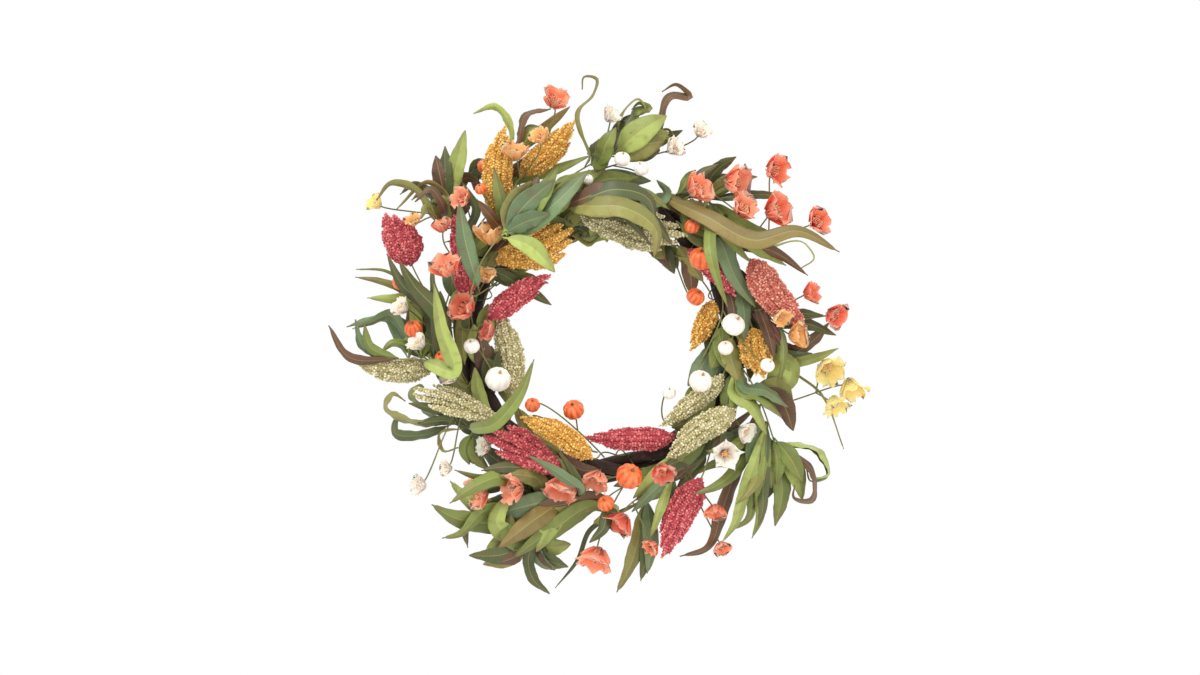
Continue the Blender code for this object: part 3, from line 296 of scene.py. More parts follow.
# A leaf spray: name, reach, route of its stem, then leaves: (width, reach, turn, points from base to tip).
# Turn is how far a leaf is rolled about its own length, in degrees: 0 shows its face, 90 its edge.
SPRAYS = (
    (
        "leaf_spray_1",
        18,
        ((70, -168), (25, -200), (-6, -212)),
        (20, 30, 20, (-2, -193), (-50, -216), (-98, -250)),
        (6, 22, 10, (-11, -221), (-26, -256), (-51, -287)),
        (16, 20, 25, (45, -221), (34, -260), (19, -290)),
        (12, 36, -20, (11, -198), (4, -216), (-12, -232)),
        (10, 40, -25, (74, -158), (68, -195), (57, -226)),
    ),
    (
        "leaf_spray_2",
        14,
        ((-30, -178), (-60, -205), (-82, -240)),
        (20, 42, -15, (-40, -189), (-78, -210), (-114, -238)),
        (16, 24, 20, (-80, -241), (-112, -247), (-148, -248)),
        (12, 18, -20, (-81, -253), (-76, -274), (-57, -292)),
        (20, 50, 20, (-100, -225), (-116, -210), (-102, -176)),
        (16, 14, -30, (-70, -226), (-64, -250), (-36, -262)),
        (13, 22, 25, (-26, -166), (-52, -148), (-80, -132)),
        (22, 30, 20, (-142, -210), (-166, -204), (-190, -190)),
        (14, 20, -20, (-134, -206), (-152, -216), (-150, -240)),
        (18, 44, -20, (-108, -158), (-140, -168), (-168, -187)),
        (10, 30, 15, (-110, -162), (-140, -160), (-165, -152)),
        (14, 22, 25, (-128, -196), (-160, -224), (-178, -228)),
    ),
    (
        "leaf_spray_3",
        14,
        ((-128, -112), (-150, -104), (-172, -98)),
        (14, 20, 60, (-171, -101), (-216, -96), (-243, -80), (-234, -65), (-220, -74)),
        (10, 28, 10, (-173, -88), (-196, -80), (-216, -76)),
        (8, 30, 70, (-154, -108), (-182, -112), (-176, -130), (-160, -126)),
        (12, 20, 20, (-150, -112), (-142, -134), (-125, -152)),
        (14, 22, -20, (-122, -100), (-90, -66), (-73, -26)),
    ),
    (
        "leaf_spray_4",
        10,
        ((-150, -58), (-186, -30), (-228, -26)),
        (10, 20, 30, (-232, -26), (-285, -22), (-306, 12)),
        (10, 16, -20, (-205, -20), (-236, -8), (-249, -20)),
        (16, 38, 15, (-165, -40), (-176, 10), (-184, 58)),
        (15, 28, -20, (-178, -26), (-200, 20), (-218, 49)),
        (13, 22, 10, (-214, 40), (-238, 42), (-263, 43)),
        (10, 26, -20, (-216, 46), (-248, 62), (-278, 67)),
        (5, 14, 20, (-212, 48), (-244, 74), (-278, 76)),
        (13, 34, 15, (-193, 30), (-222, 58), (-239, 92)),
        (18, 20, -20, (-180, 22), (-208, 56), (-225, 84)),
    ),
    (
        "leaf_spray_5",
        14,
        ((-158, 66), (-178, 110), (-172, 150)),
        (10, 30, 45, (-186, 132), (-212, 168), (-236, 171), (-251, 152)),
        (6, 36, 45, (-172, 156), (-192, 173), (-230, 142)),
        (11, 44, -40, (-175, 140), (-191, 164), (-207, 150)),
        (17, 30, 15, (-172, 158), (-160, 200), (-152, 232)),
        (9, 22, 20, (-162, 110), (-140, 140), (-158, 177)),
        (14, 18, -25, (-168, 140), (-150, 180), (-134, 171)),
    ),
    (
        "leaf_spray_6",
        20,
        ((-144, 46), (-132, 82), (-108, 116)),
        (17, 30, -15, (-138, 61), (-150, 104), (-157, 149)),
        (15, 46, 15, (-104, 120), (-112, 156), (-119, 189)),
        (22, 22, -20, (-100, 118), (-80, 150), (-51, 174)),
        (20, 34, 20, (-94, 116), (-48, 150), (-12, 186)),
        (18, 54, 15, (-110, 112), (-78, 100), (-50, 71)),
        (14, 18, -20, (-120, 70), (-88, 56), (-55, 35)),
    ),
    (
        "leaf_spray_7",
        14,
        ((-122, 146), (-112, 186), (-92, 222)),
        (9, 26, 40, (-100, 230), (-119, 259), (-143, 251)),
        (10, 34, 45, (-91, 222), (-83, 248), (-55, 255)),
        (14, 16, -20, (-90, 216), (-60, 240), (-34, 262)),
        (14, 50, 10, (-104, 172), (-52, 188), (-10, 205)),
        (12, 20, 20, (-118, 180), (-140, 196), (-150, 176)),
    ),
    (
        "leaf_spray_8",
        14,
        ((-48, 172), (-8, 196), (34, 214)),
        (26, 36, 10, (23, 212), (48, 232), (75, 248)),
        (22, 24, -20, (34, 212), (56, 222), (78, 230)),
        (12, 30, 50, (60, 226), (82, 272), (101, 270), (86, 284), (70, 276)),
        (6, 22, 70, (20, 214), (28, 256), (44, 268), (52, 254), (40, 248)),
        (7, 30, 60, (-12, 200), (-24, 254), (-8, 270), (-4, 288), (-18, 290), (-20, 276)),
        (18, 44, 15, (0, 200), (8, 218), (18, 234)),
        (14, 16, -20, (34, 218), (66, 222), (94, 234)),
    ),
    (
        "leaf_spray_9",
        18,
        ((-66, 138), (-28, 148), (16, 146)),
        (18, 46, -15, (-23, 155), (12, 164), (45, 164)),
        (16, 30, 40, (20, 146), (56, 148), (76, 162), (64, 176)),
        (10, 26, 60, (-32, 146), (-28, 116), (-12, 104), (0, 114)),
        (14, 22, 15, (-10, 146), (4, 130), (8, 106)),
        (10, 26, -20, (22, 142), (42, 120), (57, 102)),
        (22, 20, 25, (26, 142), (62, 116), (60, 86)),
        (16, 16, 20, (20, 140), (60, 128), (82, 100)),
    ),
    (
        "leaf_spray_10",
        16,
        ((62, 160), (100, 158), (128, 152)),
        (10, 26, 15, (98, 164), (118, 186), (134, 194)),
        (14, 20, -20, (120, 158), (150, 178), (178, 180)),
        (8, 48, 30, (126, 158), (120, 152), (114, 140)),
        (22, 34, 20, (112, 138), (134, 124), (156, 126)),
        (18, 26, -15, (132, 146), (166, 122), (201, 112)),
        (12, 18, 20, (130, 154), (174, 160), (212, 158)),
        (18, 30, 15, (172, 106), (218, 116), (265, 93)),
        (14, 36, -20, (160, 106), (198, 94), (234, 68)),
        (6, 24, 70, (176, 100), (232, 104), (242, 88), (226, 76)),
        (20, 22, 20, (137, 104), (152, 66), (175, 32)),
        (12, 20, -20, (122, 94), (130, 62), (141, 32)),
    ),
    (
        "leaf_spray_11",
        14,
        ((160, 52), (186, 14), (206, -18)),
        (12, 38, 15, (179, 30), (190, 0), (196, -27)),
        (8, 46, -20, (200, 7), (206, -26), (199, -56)),
        (18, 24, 15, (210, -14), (216, -40), (208, -67)),
        (13, 30, -15, (212, -28), (240, -26), (270, -14)),
        (12, 20, 20, (196, 10), (232, 14), (267, 1)),
        (3, 26, 0, (210, -30), (252, -66), (278, -129)),
    ),
    (
        "leaf_spray_12",
        16,
        ((160, -36), (182, -76), (198, -122)),
        (16, 46, 30, (150, -60), (170, -78), (187, -111)),
        (20, 30, -20, (178, -60), (206, -76), (218, -107)),
        (18, 26, 15, (186, -112), (192, -142), (193, -172)),
        (18, 36, -20, (199, -124), (216, -140), (228, -164)),
        (18, 20, 20, (199, -134), (206, -176), (198, -215)),
        (12, 28, 60, (202, -130), (242, -160), (238, -186), (218, -182), (220, -168)),
        (13, 30, 15, (160, -184), (152, -210), (137, -232)),
        (13, 44, -20, (146, -158), (126, -170), (104, -177)),
        (16, 22, 30, (138, -196), (120, -240), (90, -249)),
        (12, 24, 20, (150, -140), (128, -146), (108, -158)),
    ),
)

BENDING = {
    "coral_trumpet_pick": 12,
    "coral_hanging_pick": 12,
    "yellow_blossom_pick": 8,
    "coral_outer_pick": 6,
    "orange_pumpkin_inner_pick": 10,
    "white_pumpkin_inner_pick": 15,
}  # degrees either way

# The tone of each leaf of a spray, in the plan's order
LEAF_TONES = {
    "leaf_spray_1": "green dark olive dark light",
    "leaf_spray_2": "striped dark dark light dark blue green dark green green green",
    "leaf_spray_3": "olive dark olive green green",
    "leaf_spray_4": "maroon green light green light olive green dark dark",
    "leaf_spray_5": "olive striped maroon light dark maroon",
    "leaf_spray_6": "blue light blue blue light dark",
    "leaf_spray_7": "light maroon striped light dark",
    "leaf_spray_8": "light light maroon olive olive green dark",
    "leaf_spray_9": "blue blue olive light dark olive dark",
    "leaf_spray_10": "dark olive light olive green dark striped maroon light blue green",
    "leaf_spray_11": "olive green light light dark olive",
    "leaf_spray_12": "light maroon green green green maroon light green maroon green",
}

# Heads that spread like a fan show more strands
FAN_STRANDS = {"gold_millet_3": 5, "red_millet_4": 4, "cream_millet_6": 5, "cream_millet_3": 4}

# A candidate whose corners lie this near the solid's is the one
CLOSE_FIT = 0.12 * MM
WORST_FIT = 1.2 * MM  # a worse one is named in the output
SHORT_STALK = 14 * MM


# Curves of the plan


def unit(vector):
    return vector / max(np.linalg.norm(vector), 1e-9)


def planted(place, reach):
    """A place of the planting plan as a point. It keeps its distance from the ring when the ring changes."""
    x, z = place
    radius = math.hypot(x, z)
    share = (RING_RADIUS + (radius - PLAN_RADIUS) * MM) / radius
    return np.array((x * share, -reach * MM, z * share))


def near_ring(flow, offset, lean):
    """A point beside the ring: flow runs clockwise from the bottom, and lean runs round the bundle from
    outwards through the front."""
    outwards = np.array((-math.sin(flow), 0.0, -math.cos(flow)))
    return outwards * (RING_RADIUS + offset * math.cos(lean)) + FRONT * offset * math.sin(lean)


def flow_of(point):
    return math.atan2(-point[0], -point[2])


def upstream_of(point):
    """The flow at which a stem leaves the ring to reach a point, further back the further out it lies."""
    away = abs(math.hypot(point[0], point[2]) - RING_RADIUS)
    return flow_of(point) - min(0.22 + 0.5 * away / RING_RADIUS, 0.5)


def smooth_path(points, spacing=FINE):
    """Even points along a smooth curve through the given ones."""
    points = np.asarray(points, float)
    gaps = np.linalg.norm(np.diff(points, axis=0), axis=1)
    slopes = np.diff(points, axis=0) / gaps[:, None]
    tangents = np.vstack((slopes[:1], slopes[:-1], slopes[-1:]))[: len(points)]
    for i in range(1, len(points) - 1):
        before, after = gaps[i - 1], gaps[i]
        tangents[i] = (slopes[i - 1] * after + slopes[i] * before) / (before + after)
    tangents[-1] = slopes[-1]
    pieces = [points[:1]]
    for i, gap in enumerate(gaps):
        t = (np.arange(1, 13) / 12)[:, None]
        pieces.append(
            (2 * t**3 - 3 * t**2 + 1) * points[i]
            + (t**3 - 2 * t**2 + t) * gap * tangents[i]
            + (3 * t**2 - 2 * t**3) * points[i + 1]
            + (t**3 - t**2) * gap * tangents[i + 1]
        )
    dense = np.vstack(pieces)
    along = np.concatenate(((0.0,), np.cumsum(np.linalg.norm(np.diff(dense, axis=0), axis=1))))
    even = np.linspace(0.0, along[-1], max(3, round(along[-1] / spacing) + 1))
    return np.column_stack([np.interp(even, along, dense[:, axis]) for axis in range(3)])


def frames(path):
    """Unit vectors ahead, across and out at each point of a path; across lies in the plane of the wreath."""
    ahead = np.gradient(path, axis=0)
    ahead /= np.linalg.norm(ahead, axis=1)[:, None]
    across = np.cross(ahead, FRONT)
    for i in range(len(path)):
        if i:
            across[i] *= 1.0 if across[i].dot(across[i - 1]) > 0 else -1.0
            across[i] += 0.3 * across[i - 1]
        across[i] = unit(across[i] - ahead[i] * across[i].dot(ahead[i]))
    return ahead, across, np.cross(across, ahead)


def cane_point(share, which):
    flow = 2 * math.pi * share
    phase = 2 * math.pi * which / CANE_COUNT
    return near_ring(flow, TWIST_RADIUS, CANE_TURNS * flow + phase)


def wire_point(share, round_turns=False):
    """A point of the binding wire; the solid's wire has corners, and the round one keeps inside them."""
    flow = 2 * math.pi * share
    radius = WIND_RADIUS * (0.975 if round_turns else 1.0)
    return near_ring(flow, radius, WIRE_TURNS * flow)

def head_profile(share):
    return np.clip(share / 0.16, 0, 1) ** 0.6 * np.clip((1.0 - share) / 0.42, 0, 1) ** 0.55


def ball_profile(share):
    return np.sqrt(np.clip(1.0 - (2.0 * share - 1.0) ** 2, 0, 1))


def cup_profile(share):
    return np.clip(0.16 + 0.84 * share**0.8, 0, 1)


def leaf_profile(share):
    return np.sin(math.pi * np.clip(share, 0, 1) ** 0.85) ** 0.75


class Limb:
    """A body of the plan swept along a path, with its half width and half depth at each point."""

    def __init__(self, path, wide, deep, turn=0.0, blade=False, body_from=0.0):
        self.path = path
        self.wide = wide
        self.deep = deep
        self.turn = turn
        self.blade = blade
        self.body_from = body_from

    def cross_axes(self):
        _, across, out = frames(self.path)
        c, s = math.cos(self.turn), math.sin(self.turn)
        return across * c + out * s, out * c - across * s

    def stations(self):
        """The points at which the solid has its corners."""
        ahead, _, _ = frames(self.path)
        kept = [0]
        for i in range(1, len(self.path) - 1):
            last = kept[-1]
            angle = math.acos(np.clip(ahead[i].dot(ahead[last]), -1, 1))
            run = np.linalg.norm(self.path[i] - self.path[last])
            widest = max(self.wide[i], self.wide[last])
            grown = abs(self.wide[i] - self.wide[last]) > max(0.5 * widest, 1.5 * MM)
            if angle * run / 8 > SAG or run > LONGEST_STEP or grown:
                kept.append(i)
        kept.append(len(self.path) - 1)
        return kept

    def corners(self, kept):
        """The solid's corners at some of the stations."""
        side, out = self.cross_axes()
        if self.blade:
            shares = ((-1.0, 0.0), (0.0, 1.0), (1.0, 0.0))
        else:
            sides = 6 if self.wide.max() > 3 * STEM_RADIUS else 4
            angles = [2 * math.pi * k / sides for k in range(sides)]
            shares = [(math.cos(a), math.sin(a)) for a in angles]
        return np.array(
            [
                self.path[i] + side[i] * x * self.wide[i] + out[i] * y * self.deep[i]
                for i in kept
                for x, y in shares
            ]
        )


def along_path(path):
    """How far along its path each point lies."""
    steps = np.linalg.norm(np.diff(path, axis=0), axis=1)
    return np.concatenate(((0.0,), np.cumsum(steps)))


def stem_limb(line):
    path = smooth_path(line)
    thick = np.full(len(path), STEM_RADIUS)
    return Limb(path, thick, thick, body_from=along_path(path)[-1])


def body_at_end(points, length, half_width, half_depth, profile):
    """A thin stem through the points whose last stretch swells into a body of that length."""
    path = smooth_path(points)
    along = along_path(path)
    start = along[-1] - length
    steps = np.unique(np.concatenate((along[along < start], start + length * np.linspace(0, 1, 9))))
    path = np.column_stack([np.interp(steps, along, path[:, axis]) for axis in range(3)])
    shape = profile(np.clip((steps - start) / length, 0, 1)) * (steps >= start)
    wide = np.maximum(shape * half_width, STEM_RADIUS)
    return Limb(path, wide, np.maximum(shape * half_depth, STEM_RADIUS), body_from=max(start, 0.0))


def leaf_limb(points, width, turn):
    """A blade with a raised midrib on a short stalk."""
    path = smooth_path(points)
    along = along_path(path)
    stalk = min(9 * MM, 0.25 * along[-1])
    share = (along - stalk) / (along[-1] - stalk)
    wide = np.maximum(leaf_profile(share) * width * MM / 2, TWIG_RADIUS)
    deep = np.full(len(path), LEAF_RIDGE)
    return Limb(path, wide, deep, turn=math.radians(turn), blade=True, body_from=stalk)


def head_limb(width, length):
    half = width * MM / 2
    return lambda line: body_at_end(line, length, half, min(half, 12 * MM), head_profile)


def end_limb(kind, size):
    half = size * MM / 2
    if kind == "ball":
        return lambda line: body_at_end(line, 1.7 * half, half, half, ball_profile)
    return lambda line: body_at_end(line, 1.3 * half, half, half, cup_profile)


# Finding the plan's items in their solids


def shifts():
    """How far an item may have been moved to the front, the smallest first."""
    return [0.0] + [sign * k * PLAN_STEP for k in range(1, PLAN_TRIES) for sign in (1, -1)]


def foot_candidates(flow, point, bends):
    """The nearest places where a foot may lie under the binding wire, each as the foot's points."""
    lean = math.atan2(-point[1], math.hypot(point[0], point[2]) - RING_RADIUS)
    lean = min(max(lean, math.radians(-20)), math.radians(200))
    found = []
    for k in range(-1, 7):
        slot_lean = math.radians(36 * k)
        for turn in range(WIRE_TURNS):
            crossing = (slot_lean + 2 * math.pi * turn) / WIRE_TURNS
            if bends:
                crossing += math.pi / WIRE_TURNS
            away = (crossing - flow + math.pi) % (2 * math.pi) - math.pi
            cost = abs(away) * RING_RADIUS + abs(slot_lean - lean) * BUNDLE_RADIUS
            found.append((cost, crossing, slot_lean))
    return [foot_points(crossing, lean, bends) for _, crossing, lean in sorted(found)[:30]]


def foot_points(crossing, lean, bends):
    """Where a stem runs: under the wire, then off the ring."""
    if bends:
        ends = (0.0, 7 * MM)
        heights = (FOOT_RADIUS, FOOT_RADIUS + 9 * MM)
    else:
        half = FOOT_LENGTH / 2
        ends = (-half, 0.0, half, half + 15 * MM)
        heights = (FOOT_RADIUS, FOOT_RADIUS, FOOT_RADIUS + 0.6 * MM, FOOT_RADIUS + 7 * MM)
    return [near_ring(crossing + e / RING_RADIUS, h, lean) for e, h in zip(ends, heights)]


class Solid:
    """The corners of a pick's solid, measured from the ring's centre."""

    def __init__(self, name):
        mesh = frame["nodes"][name].data
        co = np.empty(len(mesh.vertices) * 3, np.float32)
        mesh.vertices.foreach_get("co", co)
        self.name = name
        self.corners = np.unique(co.reshape(-1, 3).astype(float) - RING_CENTRE, axis=0)

    def misfit(self, corners):
        """How far corners lie from the solid's own, on average; one that a union took away costs little."""
        apart = np.linalg.norm(corners[:, None] - self.corners[None], axis=2).min(1)
        return float(np.minimum(apart, 2 * MM).mean())

    def best_shifts(self, points, build):
        """The shifts at which the item's end meets the solid best."""
        scored = []
        for shift in shifts():
            limb = build([p + FRONT * shift for p in points])
            last = len(limb.path) - 1
            scored.append((self.misfit(limb.corners([last])), shift))
        return [shift for _, shift in sorted(scored)[:2]]

    def find_main(self, points, build, flow, bends):
        feet = foot_candidates(flow, points[0], bends)
        choices = itertools.product(self.best_shifts(points, build), feet)
        return self.nearest(build(foot + [p + FRONT * shift for p in points]) for shift, foot in choices)

    def find_branch(self, stem, points, build, bends):
        starts = branch_starts(stem, points[0], bends)
        choices = itertools.product(self.best_shifts(points, build), starts, ARCHES)
        return self.nearest(build(branch_line(points, *choice)) for choice in choices)

    def nearest(self, limbs):
        """The first limb that fits closely, or the one that fits best, after its misfit and its number."""
        tries = []
        for limb in limbs:
            tries.append((self.misfit(limb.corners(limb.stations())), len(tries), limb))
            if tries[-1][0] < CLOSE_FIT:
                return tries[-1]
        return min(tries)


def branch_line(points, shift, start, arch):
    """A side shape's line from its start on the stem; a long stalk may arch to the front or back."""
    moved = [p + FRONT * shift for p in points]
    if np.linalg.norm(moved[0] - start) < SHORT_STALK:
        return [start, *moved[1:]]
    return [start, (start + moved[0]) / 2 + FRONT * arch, *moved]


def branch_starts(stem, point, bends):
    """Places on the main stem to grow from: just before the nearest one, then further along either way."""
    kept = stem.stations()
    line = np.column_stack([np.interp(range(len(stem.path)), kept, stem.path[kept, k]) for k in range(3)])
    thick = stem.wide > 1.5 * STEM_RADIUS
    last = int(np.argmax(thick)) - 1 if thick.any() else len(thick) - 1
    first = 2 if bends else int((FOOT_LENGTH + 12 * MM) / FINE)
    usable = line[first : max(last, first + 2)]
    apart = np.linalg.norm(usable - point, axis=1)
    nearest = int(np.argmin(apart)) - int(min(apart.min(), 24 * MM) / FINE)
    for step in BRANCH_STEPS:
        yield usable[min(max(nearest + step, 0), len(usable) - 1)]


def head_points(foot, tip, reach, bow):
    """Three points of a head's line; it lifts a little towards its tip."""
    start, end = planted(foot, reach - 3), planted(tip, reach + 3)
    aside = unit(np.cross(end - start, FRONT))
    return [start, (start + end) / 2 + aside * bow * MM, end]


def once(make):
    """Keeps what the function made the first time, for the same question."""
    made = {}

    def found(*which):
        if which not in made:
            made[which] = make(*which)
        return made[which]

    return found


@once
def limbs_of(entry):
    """The limbs of one entry of the plan as (what it is, its colour or tone, its size, the limb)."""
    name = entry[0]
    solid = Solid(name)
    found, misfits = [], []
    bends = name in BENDING

    def keep(result, *facts):
        misfits.append(result[0])
        found.append((*facts, result[2]))

    if name in HEAD_NAMES:
        _, colour, foot, tip, width, reach, bow = entry
        points = head_points(foot, tip, reach, bow)
        length = np.linalg.norm(points[2] - points[0])
        result = solid.find_main(points, head_limb(width, length), upstream_of(points[0]), False)
        keep(result, "head", colour, width * MM)
    elif name in LEAF_TONES:
        _, reach, route, *leaves = entry
        stem = [planted(place, reach) for place in route]
        keep(solid.find_main(stem, stem_limb, upstream_of(stem[0]), False), "stem", "leaf", 0.0)
        for tone, (width, leaf_reach, turn, *places) in zip(LEAF_TONES[name].split(), leaves):
            points = [planted(place, leaf_reach) for place in places]
            points[0] = points[0] + FRONT * (reach - leaf_reach) * 0.5 * MM
            result = solid.find_branch(
                found[0][3], points, lambda line: leaf_limb(line, width, turn), False
            )
            keep(result, "leaf", tone, width * MM)
    else:
        _, foot, *things = entry
        for kind, colour, place, size, reach in things:
            end = planted(place, reach)
            outwards = unit(np.array((end[0], 0.0, end[2])))
            points = [end - (outwards * 0.35 + FRONT * 0.8) * size * 0.9 * MM, end]
            build = end_limb(kind, size)
            if found:
                result = solid.find_branch(found[0][3], points, build, bends)
            else:
                result = solid.find_main(points, build, flow_of(planted(foot, 0)), bends)
            keep(result, kind, colour, size * MM)
    worst = max(misfits)
    if worst > WORST_FIT:
        print(f"{name}: an item lies {worst / MM:.2f} mm from its solid on average")
    return found


HEAD_NAMES = {entry[0] for entry in HEADS}


# Colours


def tone(code):
    """A colour in linear light from its six-figure code."""
    parts = [int(code[k : k + 2], 16) / 255 for k in (0, 2, 4)]
    return tuple(p / 12.92 if p <= 0.04045 else ((p + 0.055) / 1.055) ** 2.4 for p in parts)


# Front and back of each kind of leaf
LEAF_COLOURS = {
    "green": (tone("7B8A3C"), tone("6E4C2C")),
    "light": (tone("A4B35A"), tone("7F8A40")),
    "dark": (tone("4C5A2A"), tone("4A3322")),
    "blue": (tone("6A8358"), tone("566B44")),
    "olive": (tone("8A8842"), tone("5E3D26")),
    "maroon": (tone("64452C"), tone("5E2C2A")),
    "striped": (tone("8E7C3E"), tone("6B3E2B")),
}


# Building blocks


class Cloth:
    """Vertices, faces and their attributes, gathered into one mesh."""

    def __init__(self):
        self.vertices = []
        self.faces = []
        self.along = []
        self.colour = []
        self.place = []

    def grid(self, points, wrap, along, colour, place=None):
        """Adds a closed skin from rings of points; wrap shuts each ring, and flat caps shut the ends."""
        rings, count, _ = points.shape
        base = len(self.vertices)
        self.vertices += points.reshape(-1, 3).tolist()
        self.along += np.broadcast_to(along, (rings, count)).reshape(-1).tolist()
        self.colour += np.broadcast_to(colour, (rings, count, 3)).reshape(-1, 3).tolist()
        if place is None:
            place = np.zeros((rings, count, 2))
        self.place += place.reshape(-1, 2).tolist()
        for r in range(rings - 1):
            for k in range(count):
                nxt = (k + 1) % count
                a, b = base + r * count, base + (r + 1) * count
                self.faces.append((a + k, a + nxt, b + nxt, b + k))
        if wrap:
            self.faces.append(tuple(base + k for k in range(count))[::-1])
            last = base + (rings - 1) * count
            self.faces.append(tuple(last + k for k in range(count)))

    def mesh(self, name):
        made = bpy.data.meshes.new(name)
        made.from_pydata((np.array(self.vertices) + RING_CENTRE).tolist(), [], self.faces)
        along = made.attributes.new("along", "FLOAT", "POINT")
        along.data.foreach_set("value", np.array(self.along, np.float32))
        place = made.attributes.new("place", "FLOAT2", "POINT")
        place.data.foreach_set("vector", np.array(self.place, np.float32).reshape(-1))
        colour = made.attributes.new("tint", "FLOAT_COLOR", "POINT")
        rgba = np.column_stack((np.array(self.colour), np.ones(len(self.colour))))
        colour.data.foreach_set("color", rgba.astype(np.float32).reshape(-1))
        work = bmesh.new()
        work.from_mesh(made)
        bmesh.ops.recalc_face_normals(work, faces=work.faces)
        work.to_mesh(made)
        work.free()
        made.shade_smooth()
        return made


def sheet_rings(top, bottom):
    """Rings round a thin sheet, from the grids of its two skins."""
    return np.concatenate((top, bottom[:, ::-1]), axis=1)


def show(name, mesh, material, node, slot=None):
    """Links a finished mesh as a piece that stands for its solid. The slot argument has no effect."""
    made = bpy.data.objects.new(name, mesh)
    bpy.context.scene.collection.objects.link(made)
    if material is not None:
        mesh.materials.clear()
        mesh.materials.append(material)
    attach(made, body_of(node))
    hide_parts(node)
    slot or slot_of(node)


def body_of(node):
    for body, members in frame["record"]["behaviour"]["bodies"].items():
        if node in members:
            return body
    raise ValueError(f"{node} is on no body")


def slot_of(node):
    return next(s["material_slot"] for s in frame["record"]["subparts"] if s["node"] == node)


# Geometry Nodes


def new_tree(name, inputs, nodes, links):
    """A node tree with its named inputs. Each node is (kind, its settings, its sockets' values), and each
    link is 'node.socket > node.socket'. What reaches 'real' is realized, smoothed and given its material."""
    tree = bpy.data.node_groups.new(name, "GeometryNodeTree")
    for way in ("OUTPUT", "INPUT"):
        tree.interface.new_socket("Geometry", in_out=way, socket_type="NodeSocketGeometry")
    for label, kind, default in inputs:
        made = tree.interface.new_socket(label, in_out="INPUT", socket_type=kind)
        if default is not None:
            made.default_value = default
    placed = {}
    for label, (kind, values, sockets) in {**nodes, **TREE_ENDS}.items():
        placed[label] = tree.nodes.new(kind)
        for key, value in values.items():
            setattr(placed[label], key, value)
        for key, value in sockets.items():
            placed[label].inputs[key].default_value = value
    for line in (*links, *END_LINKS):
        source, target = (end.split(".") for end in line.split(" > "))
        output = placed[source[0]].outputs[socket_key(source[1])]
        tree.links.new(output, placed[target[0]].inputs[socket_key(target[1])])
    return tree


def socket_key(text):
    """A socket's name, or its number where several sockets share a name."""
    return int(text) if text.isdigit() else text


TREE_ENDS = {
    "given": ("NodeGroupInput", {}, {}),
    "real": ("GeometryNodeRealizeInstances", {}, {}),
    "smooth": ("GeometryNodeSetShadeSmooth", {}, {}),
    "finish": ("GeometryNodeSetMaterial", {}, {}),
    "result": ("NodeGroupOutput", {}, {}),
}
END_LINKS = (
    "real.Geometry > smooth.Geometry",
    "smooth.Geometry > finish.Geometry",
    "given.Material > finish.Material",
    "finish.Geometry > result.Geometry",
)


@once
def tube_tree():
    """Turns edges into round rods: the points' radius sets their thickness, and noise roughens the bark."""
    return new_tree(
        "Round rods",
        (
            ("Sides", "NodeSocketInt", 8),
            ("Bark depth", "NodeSocketFloat", 0.0),
            ("Bark grain", "NodeSocketFloat", 160.0),
            ("Material", "NodeSocketMaterial", None),
        ),
        {
            "curve": ("GeometryNodeMeshToCurve", {}, {}),
            "radius": ("GeometryNodeInputNamedAttribute", {"data_type": "FLOAT"}, {"Name": "radius"}),
            "ring": ("GeometryNodeCurvePrimitiveCircle", {}, {"Radius": 1.0}),
            "rod": ("GeometryNodeCurveToMesh", {}, {"Fill Caps": True}),
            "noise": ("ShaderNodeTexNoise", {}, {"Detail": 3.0}),
            "centred": ("ShaderNodeMath", {"operation": "SUBTRACT"}, {1: 0.6}),
            "depth": ("ShaderNodeMath", {"operation": "MULTIPLY"}, {}),
            "normal": ("GeometryNodeInputNormal", {}, {}),
            "push": ("ShaderNodeVectorMath", {"operation": "SCALE"}, {}),
            "rough": ("GeometryNodeSetPosition", {}, {}),
        },
        (
            "given.Geometry > curve.Mesh",
            "curve.Curve > rod.Curve",
            "radius.Attribute > rod.Scale",
            "given.Sides > ring.Resolution",
            "ring.Curve > rod.Profile Curve",
            "given.Bark grain > noise.Scale",
            "noise.Fac > centred.0",
            "centred.Value > depth.0",
            "given.Bark depth > depth.1",
            "normal.Normal > push.0",
            "depth.Value > push.Scale",
            "rod.Mesh > rough.Geometry",
            "push.Vector > rough.Offset",
            "rough.Geometry > real.Geometry",
        ),
    )


